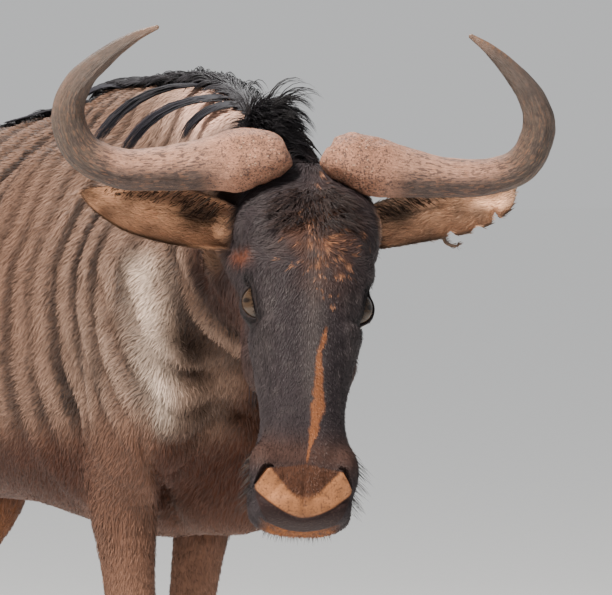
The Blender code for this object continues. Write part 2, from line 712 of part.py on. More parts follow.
def make_claw(name, centre, side):
    """One half of a cloven hoof: a toe outline on the floor, drawn in and back to its top."""
    sides = CLAW_SIDES
    turn = 2 * pi * np.arange(sides) / sides
    rings = []
    for height, share, back in CLAW_RINGS:
        x = CLAW_HALF[0] * share * np.sign(np.sin(turn)) * np.abs(np.sin(turn)) ** 0.8
        inner = np.where(x * side < 0, 0.85, 1.0)
        y = -CLAW_HALF[1] * share * np.cos(turn) + back
        toe = np.where(np.cos(turn) > 0, 1 - 0.35 * np.cos(turn) ** 3, 1.0)
        rings.append(np.stack([x * inner * toe, y, np.full(sides, height)], 1))
    points = np.vstack(rings) + np.array([centre[0], centre[1], 0.0])
    made = solid(name, points, ring_faces(len(rings), sides), ("hoof", HOOF))
    outward(made)
    return made


def make_hair(name, field, planes=()):
    low, high, cell, triangles, seed = HAIR_PARTS[name]
    made = solid(name, *net(field, low, high, cell), ("long_hair", LONG_HAIR))
    thin(made, triangles)
    trim(made, planes, seed)
    return made


def mane_field(points):
    """The ridge of long hair, its section leaning over to the right."""
    side = neck_axes()[0] * cos(MANE_LEAN) - np.array([0, 0, sin(MANE_LEAN)])
    return limb(points, MANE, side)


def beard_field(points):
    return limb(points, BEARD, neck_axes()[0])


def brush_field(points):
    return limb(points, TAIL)


def opposite(plane):
    return plane[0], tuple(-np.array(plane[1]))


def cuts():
    """Each thin cut as a point and the way its plane faces."""
    axis = NECK_TO - NECK_FROM
    return {
        "neck_base": (NECK_FROM + CUT_NECK * axis, axis),
        "poll": (face_point(CUT_POLL), -(FACE_AXES[2] - POLL_SLANT * FACE_AXES[1])),
        "legs": ((0, 0, CUT_LEGS), (0, 0, 1)),
        "shoulder": ((0, CUT_SHOULDER, 0), (0, 1, 0)),
        "loin": ((0, CUT_LOIN, 0), (0, 1, 0)),
        "dock": ((0, CUT_DOCK, 0), (0, 1, 0)),
        "brush": ((0, 0, CUT_BRUSH), (0, 0, 1)),
        "hoof": ((0, 0, HOOF_TOP), (0, 0, -1)),
    }


def make_body():
    """Head, neck, the three lengths of the trunk, and the tail."""
    cut = cuts()
    low, high = HEAD_PLACE - HEAD_REACH, HEAD_PLACE + HEAD_REACH
    made = {
        "head": flesh("head", low, high, HEAD_CELL, HEAD_TRIANGLES, (cut["poll"],),
                      face_point(HEAD_SEED), ("dark_hide", DARK_HIDE))
    }
    planes = {
        "neck": (opposite(cut["neck_base"]), opposite(cut["poll"])),
        "forequarters": (cut["neck_base"], cut["shoulder"], opposite(cut["legs"])),
        "barrel": (opposite(cut["shoulder"]), cut["loin"], opposite(cut["legs"])),
        "hindquarters": (opposite(cut["loin"]), opposite(cut["legs"]), cut["dock"]),
        "tail": (opposite(cut["dock"]), opposite(cut["brush"])),
    }
    for name, (low, high, cell, triangles, seed) in BODY_PARTS.items():
        made[name] = flesh(name, low, high, cell, triangles, planes[name], seed)
    return made


def make_leg(name, leg):
    """A leg below the trunk, and the two halves of its hoof."""
    rows = leg_rows(*leg)
    foot, forearm = np.array(rows[-1][:3]), np.array(rows[4][:3])
    low = np.minimum(foot, forearm) - LEG_ROOM
    high = np.maximum(foot, forearm) + LEG_ROOM
    low[2], high[2] = LEG_HEIGHTS[0], CUT_LEGS + LEG_HEIGHTS[1]
    cut = cuts()
    seed = (forearm[0], forearm[1], LEG_SEED)
    flesh(name, low, high, LEG_CELL, LEG_TRIANGLES, (cut["legs"], cut["hoof"]), seed)
    for side, word in ((-1, "right"), (1, "left")):
        claw = name.replace("leg", "hoof") + "_" + word
        make_claw(claw, (foot[0] + side * CLAW_APART, foot[1] - CLAW_BACK), side)


def build():
    clear_scene()
    body = make_body()
    for name, leg in LEGS.items():
        make_leg(name, leg)
    eyes = [make_eye("eye_right", -1), make_eye("eye_left", 1)]
    carve(body["head"], eyes)
    horns = [make_horn("horn_right", HORN_RIGHT), make_horn("horn_left", HORN_LEFT)]
    ears = [make_ear("ear_right", EAR_RIGHT), make_ear("ear_left", EAR_LEFT)]
    for horn in horns:
        carve(horn, [body["head"]])
    for ear in ears:
        carve(ear, [body["head"], body["neck"]] + horns)
    make_hair("tail_brush", brush_field, (cuts()["brush"],))
    mane = make_hair("mane", mane_field)
    beard = make_hair("beard", beard_field)
    front = [body["head"], body["neck"], body["forequarters"]]
    carve(mane, front + [body["barrel"]] + horns + ears)
    carve(beard, front)


build()
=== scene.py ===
# %% [markdown]
# # A wildebeest for a museum floor
#
# This script dresses one standing wildebeest, life size, with its head lowered and turned.
# The frame holds the animal's plain solids. Here they get a skin with lids, lips and folds,
# horns with rough bosses, wet eyes, hooves, a short coat in thin tufts, and long hair on the
# crest, the crown, the throat and the tail.
# Everything is worked out with numpy as whole arrays, and each cell builds on the ones above.

# %% The frame
from math import cos, pi, radians, sin

import bmesh
import bpy
import numpy as np
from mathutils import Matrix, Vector


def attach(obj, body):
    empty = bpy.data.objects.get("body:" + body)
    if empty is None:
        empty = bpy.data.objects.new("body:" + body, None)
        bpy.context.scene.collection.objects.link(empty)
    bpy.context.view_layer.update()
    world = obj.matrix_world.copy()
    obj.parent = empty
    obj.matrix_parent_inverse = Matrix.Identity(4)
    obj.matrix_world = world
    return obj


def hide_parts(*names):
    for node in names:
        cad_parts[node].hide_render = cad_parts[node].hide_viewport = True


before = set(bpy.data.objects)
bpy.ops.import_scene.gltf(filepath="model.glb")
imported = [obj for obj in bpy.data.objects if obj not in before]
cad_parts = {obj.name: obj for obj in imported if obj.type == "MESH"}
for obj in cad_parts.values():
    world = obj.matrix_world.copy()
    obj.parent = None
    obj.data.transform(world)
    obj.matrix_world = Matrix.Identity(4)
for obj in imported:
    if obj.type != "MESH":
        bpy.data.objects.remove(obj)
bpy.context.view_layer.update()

# %% [markdown]
# ## Sizes
# The animal's flesh could be sculpted by hand, but a rule is easier to change. It is written as
# a field: a function that is negative inside the body and positive outside. Its driving sizes
# are the same as those of the frame's solids, in metres from the floor point under the withers.

# %% Driving sizes of the flesh
WITHERS = np.array([0.078, -0.232, 0.0])  # the floor point under the withers, in the model's frame
HEAD_PLACE = np.array([-0.138, -0.597, 1.09])  # the point between the eyes
HEAD_TURN = radians(-30.0)  # the face looks this far to the animal's right
NOSE_FORWARD = radians(24.0)  # how far the face leans from the vertical
HEAD_ROLL = radians(3.6)  # the crown tips this far to the animal's left
HOOF_TOP = 0.062
EYE_RADIUS = 0.0272
EYE_PLACE = (0.0584, -0.0066, 0.0132)  # across, up the face, out of it
LID_OVER_EYE = 0.0046  # how far the lids' outside stands over the ball, coat included

# Trunk stations along Y: half width, widest line, top, bottom, powers of the upper and lower half
TRUNK = (
    (-0.25, 0.120, 1.00, 1.250, 0.815, 1.9, 2.0),
    (-0.14, 0.172, 1.00, 1.318, 0.762, 1.7, 2.0),
    (0.00, 0.222, 1.00, 1.360, 0.760, 1.5, 2.0),
    (0.16, 0.250, 1.00, 1.342, 0.784, 1.6, 2.1),
    (0.38, 0.274, 1.00, 1.306, 0.786, 1.9, 2.1),
    (0.58, 0.268, 1.01, 1.280, 0.798, 2.0, 2.1),
    (0.76, 0.230, 1.04, 1.264, 0.846, 2.1, 2.1),
    (0.92, 0.195, 1.07, 1.246, 0.905, 2.2, 2.0),
    (1.03, 0.160, 1.07, 1.205, 0.960, 2.2, 2.0),
)
TRUNK_ENDS = (0.11, 0.085)
NECK_FROM = np.array([0.0, -0.02, 1.075])
NECK_TO = np.array([-0.105, -0.475, 1.190])
# Neck stations along its axis: half width, middle, up to the crest, down to the throat, powers
NECK = (
    (0.00, 0.178, 0.0, 0.285, -0.270, 1.6, 2.0),
    (0.17, 0.140, 0.0, 0.245, -0.222, 1.6, 2.0),
    (0.33, 0.108, 0.0, 0.198, -0.172, 1.7, 1.9),
    (0.48, 0.092, 0.0, 0.150, -0.130, 1.9, 2.0),
)
NECK_ENDS = (0.05, 0.06)
# Head stations up the face: half width, widest line, face, throat side, powers of face and jaw
HEAD = (
    (-0.276, 0.069, -0.015, 0.038, -0.070, 2.6, 2.5),
    (-0.245, 0.0695, -0.012, 0.054, -0.074, 2.6, 2.4),
    (-0.200, 0.0625, -0.010, 0.060, -0.076, 2.4, 2.2),
    (-0.165, 0.0560, -0.008, 0.063, -0.083, 2.3, 2.0),
    (-0.120, 0.0600, -0.005, 0.070, -0.098, 2.3, 1.9),
    (-0.075, 0.0690, -0.003, 0.078, -0.116, 2.3, 1.8),
    (-0.030, 0.0770, 0.000, 0.087, -0.134, 2.2, 1.8),
    (0.020, 0.0820, 0.002, 0.092, -0.146, 2.3, 1.8),
    (0.080, 0.0955, 0.000, 0.087, -0.146, 2.4, 1.9),
    (0.130, 0.0950, -0.010, 0.070, -0.135, 2.3, 2.0),
    (0.170, 0.0800, -0.020, 0.045, -0.120, 2.2, 2.0),
)
HEAD_ENDS = (0.030, 0.032)
# Leg stations down the bones: x outward, y, z, half width, half depth
FORELEG = (
    (0.150, -0.07, 1.10, 0.060, 0.115),
    (0.160, -0.11, 0.97, 0.070, 0.105),
    (0.150, -0.03, 0.85, 0.050, 0.070),
    (0.140, -0.02, 0.74, 0.038, 0.047),
    (0.130, -0.02, 0.60, 0.031, 0.036),
    (0.122, -0.02, 0.48, 0.029, 0.033),
    (0.120, -0.02, 0.42, 0.033, 0.037),
    (0.119, -0.02, 0.37, 0.027, 0.030),
    (0.117, -0.02, 0.25, 0.021, 0.026),
    (0.116, -0.02, 0.15, 0.023, 0.029),
    (0.116, -0.025, 0.115, 0.027, 0.032),
    (0.116, -0.045, 0.070, 0.026, 0.028),
    (0.116, -0.055, 0.040, 0.027, 0.030),
)
HINDLEG = (
    (0.105, 0.93, 1.10, 0.085, 0.150),
    (0.130, 0.90, 0.97, 0.082, 0.165),
    (0.165, 0.86, 0.84, 0.066, 0.125),
    (0.155, 0.90, 0.73, 0.050, 0.080),
    (0.132, 0.97, 0.62, 0.035, 0.050),
    (0.124, 1.03, 0.53, 0.031, 0.042),
    (0.122, 1.045, 0.47, 0.030, 0.040),
    (0.120, 1.035, 0.38, 0.024, 0.030),
    (0.119, 1.020, 0.24, 0.021, 0.027),
    (0.118, 1.010, 0.15, 0.023, 0.030),
    (0.118, 1.000, 0.115, 0.027, 0.033),
    (0.118, 0.980, 0.070, 0.026, 0.029),
    (0.118, 0.970, 0.040, 0.027, 0.030),
)
# Side (+1 is the animal's left), stations, where the leg hangs from, shift of root and foot
LEGS = {
    "foreleg_right": (-1, FORELEG, 1.05, -0.15, -0.030),
    "foreleg_left": (1, FORELEG, 1.05, 0.04, 0.130),
    "hindleg_right": (-1, HINDLEG, 1.10, 0.01, 0.060),
    "hindleg_left": (1, HINDLEG, 1.10, -0.13, -0.200),
}
# Ovals: centre, half sizes; mirrored where x is not zero
MUSCLES = (
    ((0.122, -0.215, 0.985), (0.060, 0.070, 0.105)),  # point of the shoulder
    ((0.138, -0.02, 1.10), (0.068, 0.150, 0.190)),  # shoulder blade
    ((0.0, -0.23, 0.870), (0.090, 0.110, 0.105)),  # brisket
    ((0.135, 0.88, 1.08), (0.095, 0.175, 0.150)),  # haunch
    ((0.105, 1.02, 1.03), (0.065, 0.080, 0.140)),  # buttock
)
HEAD_MUSCLES = (
    ((0.060, 0.043, 0.024), (0.027, 0.022, 0.034)),  # brow
    ((0.048, -0.020, -0.085), (0.032, 0.070, 0.055)),  # cheek
    ((0.052, -0.232, 0.022), (0.021, 0.030, 0.030)),  # nostril wing
    ((0.0, -0.262, -0.040), (0.060, 0.034, 0.040)),  # chin and lips
)
TAIL = (
    (0.0, 1.070, 1.180, 0.040, 0.036),
    (0.0, 1.130, 1.150, 0.030, 0.028),
    (0.0, 1.160, 1.070, 0.023, 0.023),
    (0.0, 1.168, 0.960, 0.020, 0.020),
    (0.002, 1.172, 0.860, 0.021, 0.022),
    (0.005, 1.178, 0.740, 0.036, 0.042),
    (0.010, 1.180, 0.610, 0.044, 0.050),
    (0.014, 1.172, 0.490, 0.032, 0.036),
    (0.016, 1.165, 0.400, 0.010, 0.012),
)
MANE = (
    (-0.004, 0.42, 1.288, 0.014, 0.026),
    (-0.012, 0.20, 1.332, 0.020, 0.046),
    (-0.022, 0.04, 1.346, 0.024, 0.062),
    (-0.040, -0.10, 1.342, 0.027, 0.072),
    (-0.068, -0.24, 1.330, 0.029, 0.076),
    (-0.098, -0.36, 1.328, 0.031, 0.072),
    (-0.122, -0.46, 1.328, 0.036, 0.060),
    (-0.142, -0.530, 1.314, 0.040, 0.045),
)
# The neck's crest under the mane, which bears the hair's roots
CREST = (
    (-0.030, -0.02, 1.318, 0.050, 0.040),
    (-0.045, -0.12, 1.328, 0.046, 0.046),
    (-0.068, -0.24, 1.332, 0.042, 0.050),
    (-0.094, -0.345, 1.326, 0.040, 0.048),
    (-0.112, -0.42, 1.300, 0.036, 0.036),
)
BEARD = (
    (0.0, -0.325, 0.885, 0.016, 0.045),
    (-0.035, -0.385, 0.940, 0.020, 0.068),
    (-0.070, -0.430, 0.985, 0.022, 0.072),
    (-0.100, -0.490, 0.985, 0.018, 0.055),
    (-0.115, -0.530, 0.960, 0.012, 0.030),
)
# Horn centre lines in an upright frame at the head: across, up, forward, radius
HORN_RIGHT = (
    (-0.018, 0.192, -0.034, 0.010),
    (-0.026, 0.190, -0.033, 0.029),
    (-0.048, 0.189, -0.032, 0.0405),
    (-0.085, 0.189, -0.034, 0.0425),
    (-0.125, 0.185, -0.034, 0.035),
    (-0.185, 0.179, -0.032, 0.0290),
    (-0.242, 0.180, -0.026, 0.0265),
    (-0.290, 0.203, -0.018, 0.0245),
    (-0.309, 0.248, -0.006, 0.0220),
    (-0.297, 0.290, 0.008, 0.0180),
    (-0.262, 0.325, 0.020, 0.0125),
    (-0.225, 0.350, 0.028, 0.0072),
    (-0.193, 0.364, 0.032, 0.0026),
)
HORN_LEFT = (
    (0.024, 0.196, -0.034, 0.010),
    (0.032, 0.192, -0.033, 0.029),
    (0.056, 0.186, -0.032, 0.0400),
    (0.092, 0.180, -0.034, 0.0400),
    (0.135, 0.173, -0.034, 0.0330),
    (0.185, 0.167, -0.032, 0.0270),
    (0.240, 0.168, -0.028, 0.0240),
    (0.284, 0.184, -0.022, 0.0235),
    (0.305, 0.226, -0.010, 0.0220),
    (0.297, 0.266, 0.004, 0.0185),
    (0.270, 0.302, 0.018, 0.0135),
    (0.239, 0.332, 0.028, 0.0080),
    (0.209, 0.353, 0.034, 0.0028),
)
print("trunk", len(TRUNK), "neck", len(NECK), "head", len(HEAD), "stations")

# %% [markdown]
# ## Smooth curves and smooth unions
# A muscle runs into the next one without a crease. Two small rules give that look: rows of
# sizes are joined by a smooth curve, and two fields are joined by a minimum with a rounded corner.

# %% Curves, masks and noise
def smooth_rows(rows, per_span=8):
    """Rows of numbers joined by a smooth curve through them: on each span, a cubic whose slopes
    at the ends are half the step between the neighbours (Catmull-Rom)."""
    rows = np.array(rows, float)
    before = np.vstack([2 * rows[0] - rows[1], rows[:-1]])
    after = np.vstack([rows[1:], 2 * rows[-1] - rows[-2]])
    slope = (after - before) / 2
    t = np.linspace(0, 1, per_span, endpoint=False)[None, :, None]
    p0, p1, m0, m1 = rows[:-1, None], rows[1:, None], slope[:-1, None], slope[1:, None]
    spans = (2 * t**3 - 3 * t**2 + 1) * p0 + (t**3 - 2 * t**2 + t) * m0
    spans = spans + (3 * t**2 - 2 * t**3) * p1 + (t**3 - t**2) * m1
    return np.vstack([spans.reshape(-1, rows.shape[1]), rows[-1:]])


def smooth_min(a, b, width):
    """The smaller of two fields, rounded where they meet over about this width."""
    share = np.clip(0.5 + 0.5 * (b - a) / width, 0, 1)
    return b + (a - b) * share - width * share * (1 - share)


def ramp(value, low, high):
    """0 below low, 1 above high, and a smooth step between; low may be the larger."""
    t = np.clip((value - low) / (high - low), 0, 1)
    return t * t * (3 - 2 * t)


def bell(value, middle, half):
    """1 at the middle, falling to near 0 at twice the half width."""
    return np.exp(-(((value - middle) / half) ** 2))


def noise(points, size, seed=0):
    """Smooth random values from -1 to 1: corners of a lattice with cells this size get values
    hashed from their whole-number places, and a point mixes the eight corners around it."""
    place = points / size
    cell = np.floor(place).astype(np.int64)
    part = place - cell
    part = part * part * (3 - 2 * part)
    total = np.zeros(len(points))
    for corner in np.ndindex(2, 2, 2):
        at = (cell + corner) * np.array([73856093, 19349663, 83492791])
        code = at[:, 0] ^ at[:, 1] ^ at[:, 2] ^ (seed * 2654435761 + 97)
        code = ((code ^ (code >> 13)) * 1274126177) & 0x7FFFFFFF
        value = ((code ^ (code >> 15)) & 0xFFFF) / 32767.5 - 1
        weight = np.prod(np.where(np.array(corner) == 1, part, 1 - part), axis=1)
        total += value * weight
    return total


def unit(vectors):
    return vectors / (np.linalg.norm(vectors, axis=-1, keepdims=True) + 1e-12)


print("noise at three points:", noise(np.array([[0, 0, 0.4], [1, 2, 3.3], [5, 5, 5.5]]), 1.0).round(2))

# %% [markdown]
# ## Frames of reference
# The face leans and tips, and the neck swings to one side. Each gets its own three axes, so
# that "across the face" or "along the neck" are plain coordinates in the rules that follow.

# %% Axes of the head and the neck
def head_axes():
    """Three frames at the head, as rows: the leaning face, the same facing kept upright, and
    the tipped one without the lean. Across to the animal's left, up (the face), forward."""
    forward = np.array([sin(HEAD_TURN), -cos(HEAD_TURN), 0.0])
    across = np.array([cos(HEAD_TURN), sin(HEAD_TURN), 0.0])
    up = np.array([0.0, 0.0, 1.0])
    tipped_across = cos(HEAD_ROLL) * across - sin(HEAD_ROLL) * up
    tipped_up = cos(HEAD_ROLL) * up + sin(HEAD_ROLL) * across
    lean_up = cos(NOSE_FORWARD) * tipped_up - sin(NOSE_FORWARD) * forward
    lean_out = cos(NOSE_FORWARD) * forward + sin(NOSE_FORWARD) * tipped_up
    front = np.array([tipped_across, tipped_up, forward])
    return np.array([tipped_across, lean_up, lean_out]), np.array([across, up, forward]), front


def neck_axes():
    """Rows: across, along the neck towards the head, up towards the crest."""
    along = unit(NECK_TO - NECK_FROM)
    across = unit(-np.cross([0.0, 0.0, 1.0], along))
    return np.array([across, along, -np.cross(along, across)])


def view_axes(azimuth, elevation):
    """Rows: to the right, up and towards a viewer at this azimuth and elevation."""
    a, e = azimuth, elevation
    toward = [sin(a) * cos(e), -cos(a) * cos(e), sin(e)]
    return np.array([[cos(a), sin(a), 0.0], [-sin(a) * sin(e), cos(a) * sin(e), cos(e)], toward])


FACE_AXES, UPRIGHT_AXES, FRONT_AXES = head_axes()
VIEW_AXES = view_axes(radians(-35.0), radians(2.09))
VIEW_DISTANCE = 9.0
NECK_AXES = neck_axes()


def in_face(points):
    """Across, up the face and out of it, from the point between the eyes."""
    return (points - HEAD_PLACE) @ FACE_AXES.T


def in_front(points):
    """Across, up and forward in the tipped frame: as a viewer facing the head sees it."""
    return (points - HEAD_PLACE) @ FRONT_AXES.T


def in_view(points):
    """Right and up in the picture, measured at the head's distance from the camera."""
    local = (points - HEAD_PLACE) @ VIEW_AXES.T
    return (local[:, :2] / (1 - local[:, 2:] / VIEW_DISTANCE)).T


def in_neck(points):
    return (points - NECK_FROM) @ NECK_AXES.T


def face_point(place):
    return HEAD_PLACE + np.array(place) @ FACE_AXES


def upright(place):
    return HEAD_PLACE + np.array(place) @ UPRIGHT_AXES


print("the muzzle's end is at", (face_point((0, -0.3, 0)) + WITHERS).round(3))

# %% The field of the flesh
def oval(points, centre, half):
    """Distance along the ray from an oval's centre to its surface."""
    offset = points - centre
    size = np.linalg.norm(offset, axis=1) + 1e-9
    scaled = np.linalg.norm(offset / half, axis=1) + 1e-9
    return size * (1 - 1 / scaled)


def loft(points, origin, axes, rows, ends):
    """A straight loft: each section is two half ovals with their own heights and powers, and
    past the end stations it closes as a rounded cap of the given length."""
    local = (points - origin) @ axes.T
    table = smooth_rows(rows)
    along = np.clip(local[:, 1], table[0, 0], table[-1, 0])
    wide, middle, top, bottom, upper, lower = (
        np.interp(along, table[:, 0], table[:, k]) for k in range(1, 7)
    )
    rise = local[:, 2] - middle
    high = np.where(rise > 0, top - middle, middle - bottom)
    power = np.where(rise > 0, upper, lower)
    over = local[:, 1] - along
    cap = np.where(over > 0, ends[1], ends[0])
    size = np.sqrt(local[:, 0] ** 2 + rise**2 + over**2) + 1e-9
    scaled = (np.abs(local[:, 0]) / wide) ** power + (np.abs(rise) / high) ** power
    scaled = (scaled + (np.abs(over) / cap) ** power) ** (1 / power) + 1e-9
    return size * (1 - 1 / scaled)


FAR = 0.15  # further than this from a limb, or outside the head's room, a field plays no part


def limb(points, rows, side=(1.0, 0.0, 0.0)):
    """A bent limb: the nearest place on its path, with an oval section wide along side."""
    table = smooth_rows(rows, 4)
    reach = table[:, 3:].max() + FAR
    low, high = table[:, :3].min(0) - reach, table[:, :3].max(0) + reach
    near = ((points > low) & (points < high)).all(1)
    close = points[near]
    least = np.full(len(close), FAR)
    for start, end in zip(table[:-1], table[1:]):
        step = end[:3] - start[:3]
        t = np.clip((close - start[:3]) @ step / (step @ step), 0, 1)
        offset = close - (start[:3] + t[:, None] * step)
        half = start[3:5] + t[:, None] * (end[3:5] - start[3:5])
        across = offset @ np.array(side)
        size = np.linalg.norm(offset, axis=1) + 1e-9
        rest = np.sqrt(np.maximum(size**2 - across**2, 0))
        scaled = np.hypot(across / half[:, 0], rest / half[:, 1]) + 1e-9
        least = np.minimum(least, size * (1 - 1 / scaled))
    field = np.full(len(points), FAR)
    field[near] = least
    return field


def leg_rows(side, rows, hang, root_shift, foot_shift):
    """The stations of one leg, swung fore or aft from where it hangs."""
    return [
        (side * x, y + root_shift + foot_shift * np.clip((hang - z) / hang, 0, 1), z, wide, deep)
        for x, y, z, wide, deep in rows
    ]


def head_field(points):
    """The skull's loft with brow, cheek, nostril wings and chin, and lids over each eye."""
    local = in_face(points)
    near = (np.abs(local) < np.array([0.27, 0.48, 0.36])).all(1)
    field = np.full(len(points), FAR)
    close, folded = points[near], local[near]
    folded[:, 0] = np.abs(folded[:, 0])
    flesh = loft(close, HEAD_PLACE, FACE_AXES, HEAD, HEAD_ENDS)
    for centre, half in HEAD_MUSCLES:
        flesh = smooth_min(flesh, oval(folded, np.array(centre), np.array(half)), 0.016)
    ball = np.linalg.norm(folded - np.array(EYE_PLACE), axis=1) - (EYE_RADIUS + LID_OVER_EYE)
    field[near] = smooth_min(flesh, ball, 0.010)
    return field


def body_field(points):
    """Negative inside the flesh, out to the tips of the short coat."""
    field = loft(points, np.zeros(3), np.eye(3), TRUNK, TRUNK_ENDS)
    folded = points.copy()
    folded[:, 0] = np.abs(folded[:, 0])
    for centre, half in MUSCLES:
        field = smooth_min(field, oval(folded, np.array(centre), np.array(half)), 0.06)
    field = smooth_min(field, loft(points, NECK_FROM, NECK_AXES, NECK, NECK_ENDS), 0.10)
    field = smooth_min(field, limb(points, CREST), 0.04)
    for leg in LEGS.values():
        field = smooth_min(field, limb(points, leg_rows(*leg)), 0.045)
    field = smooth_min(field, limb(points, TAIL[:5]), 0.03)
    return smooth_min(field, head_field(points), 0.035)


print("at the heart", body_field(np.array([[0.0, 0.1, 1.0]])).round(3))

# %% [markdown]
# ## Skin
# Real skin lies under the coat: about 5 mm deep on the trunk and 2 mm on the face and feet. On
# top of the smooth flesh it has its own relief: folds round the neck, a groove down each
# cannon bone, the ridge of the cheek, and the brow's wrinkles. All of these are added to the
# field as small depths, so that one surface holds them and no seam can show.

# %% Depth of the coat and relief of the skin
def coat_depth(points):
    """How far the skin lies under the tips of the coat."""
    face = in_face(points)
    head = ramp(face[:, 2], -0.20, -0.08) * ramp(np.linalg.norm(face, axis=1), 0.42, 0.34)
    foot = ramp(points[:, 2], 0.80, 0.50)
    return 0.0042 - 0.0022 * np.maximum(head, foot)


def fold_lines(points):
    """1 on the ridges and 0 in the creases of the folds that hang across the neck, and how
    strong they are: they lean forward as they go down, and are deepest towards the throat."""
    across, along, rise = in_neck(points).T
    wave = (along + 0.42 * rise) / 0.046 + 0.75 * noise(points, 0.15, 3)
    ridge = (0.5 - 0.5 * np.cos(2 * pi * wave)) ** 0.7
    place = bell(along, 0.33, 0.17) * ramp(rise, 0.06, -0.06) * ramp(rise, -0.30, -0.14)
    place *= ramp(np.abs(across), 0.02, 0.07) * (0.72 + 0.45 * noise(points, 0.09, 4))
    return ridge, np.clip(place, 0, 1)


def bands(points):
    """1 in the dark stripes that hang down the neck, the shoulder and the ribs. They follow the
    neck's own length on the neck and the trunk's length behind it, lean forward near the back,
    and wander a little."""
    _, along, rise = in_neck(points).T
    place = -points[:, 1] + (along + 0.02 + points[:, 1]) * ramp(along, 0.0, 0.25)
    place = place - 0.55 * np.maximum(points[:, 2] - 1.13, 0)
    place = place + 0.022 * noise(points * [1, 1, 0.45], 0.11, 5)
    stripe = ramp(0.5 + 0.5 * np.cos(2 * pi * place / 0.0625), 0.30, 0.82)
    stripe = stripe * (0.82 + 0.55 * noise(points * [1, 1, 0.35], 0.06, 6))
    fading = 0.10 + 0.90 * ramp(points[:, 1], 0.75, 0.25)
    fading = fading * (1 - 0.75 * ramp(along, 0.20, 0.32) * ramp(rise, -0.01, 0.06))
    return np.clip(stripe, 0, 1) * ramp(points[:, 2], 0.80, 0.95) * fading


def hide_folds(points):
    """Depth of the neck's folds and of the soft hollows under the trunk's stripes."""
    ridge, place = fold_lines(points)
    seen, high = in_view(points)
    armpit = bell(seen + 0.2158 + 0.47 * (high + 0.174), 0.0, 0.0075)
    armpit = armpit * ramp(high, -0.155, -0.185) * ramp(high, -0.30, -0.27) * (points[:, 0] < 0)
    return 0.0110 * armpit + 0.0100 * (1 - ridge) * place + 0.0042 * bands(points) * ramp(points[:, 1], 0.7, 0.4)


def leg_grooves(points):
    """Depth of the hollow between the cannon bone and its tendons, on both sides of each leg."""
    depth = np.zeros(len(points))
    for leg in LEGS.values():
        rows = smooth_rows(leg_rows(*leg))
        order = np.argsort(rows[:, 2])
        centre = [np.interp(points[:, 2], rows[order, 2], rows[order, k]) for k in range(5)]
        away = (points[:, 1] - centre[1]) / centre[4]
        near = bell(points[:, 0], centre[0], 0.05) * bell(away, 0.25, 0.30)
        height = ramp(points[:, 2], 0.13, 0.18) * ramp(points[:, 2], 0.37, 0.32)
        depth = np.maximum(depth, 0.0035 * near * height)
    return depth


def face_relief(points):
    """Depth, or height where negative, of the forms of the face that are too fine for ovals."""
    across, up, out = in_face(points).T
    side = np.abs(across)
    on_face = ramp(out, 0.0, 0.02)
    ridge = -0.0022 * bell(side - 0.052 + 0.12 * (up + 0.05), 0.0, 0.007) * bell(up, -0.07, 0.05)
    tear_hollow = 0.0045 * bell(side, 0.064, 0.014) * bell(up - 0.25 * (side - 0.06), -0.036, 0.0065)
    tuft = -0.0055 * bell(side, 0.058, 0.013) * bell(up, -0.054, 0.011)
    temple = 0.0050 * bell(side, 0.088, 0.020) * bell(up, 0.058, 0.020) * ramp(out, -0.05, 0.0)
    hollow = 0.0035 * bell(side, 0.052, 0.014) * bell(up, -0.115, 0.045) * ramp(out, 0.0, 0.03)
    nasal = -0.0020 * bell(across, 0.0, 0.018) * bell(up, -0.06, 0.10) * on_face
    wrinkles = 0.0008 * np.sin(up / 0.0024 + 60 * side) * bell(up, 0.052, 0.012) * bell(side, 0.06, 0.02)
    return ridge + tear_hollow + tuft + temple + hollow + nasal + wrinkles


def skin_field(points):
    """The flesh's field, taken in by the coat's depth and the relief, and ended at the hooves."""
    field = body_field(points) + coat_depth(points) + hide_folds(points)
    field += leg_grooves(points) + face_relief(points) + muzzle_relief(points)
    return -smooth_min(-field, points[:, 2] - (HOOF_TOP - 0.006), 0.006)


# %% [markdown]
# ## Muzzle
# The muzzle is broad and square. A tan bare pad lies between slit nostrils, under it is a dark
# band of upper lip, and a thin tan line of lower lip shows below the mouth. The pad's edges are
# given as a viewer in front of the face sees them, across and up, and the same curves serve the
# relief here and the colours later.

# %% Lines of the muzzle
MOUTH_CORNER = -0.205  # how far down the face the corner of the mouth lies


def pad_top(across):
    """Upper edge of the tan part of the pad, from in front: a wide V whose arms reach the
    nostrils."""
    return -0.2490 + 0.0460 * (np.minimum(np.abs(across), 0.062) / 0.047) ** 1.15


def pad_side(up):
    """Half width of the bare pad and lip at each height, from in front."""
    return np.interp(up, (-0.290, -0.278, -0.262, -0.245, -0.228, -0.205, -0.195),
                     (0.024, 0.040, 0.052, 0.0595, 0.0625, 0.050, -0.01))


def pad_bottom(across):
    """Lower edge of the bare pad, from in front: a wide arch turned over."""
    return -0.2660 + 0.0285 * np.minimum(np.abs(across) / 0.057, 1.6) ** 1.6


def over_mouth(points):
    """How far a point is out of the face from the slit between the lips: a curved sheet that is
    lowest in the middle, rises to both sides and drops again towards the mouth's corners."""
    across, up, out = in_face(points).T
    rise = 0.026 * ramp(np.abs(across), 0.0, 0.066) * ramp(up, -0.215, -0.265)
    return out - (-0.027 + 0.13 * (up + 0.306)) - rise


def lips(points):
    """1 round the mouth, 0 behind its corners."""
    return ramp(in_face(points)[:, 1], MOUTH_CORNER, MOUTH_CORNER - 0.03)


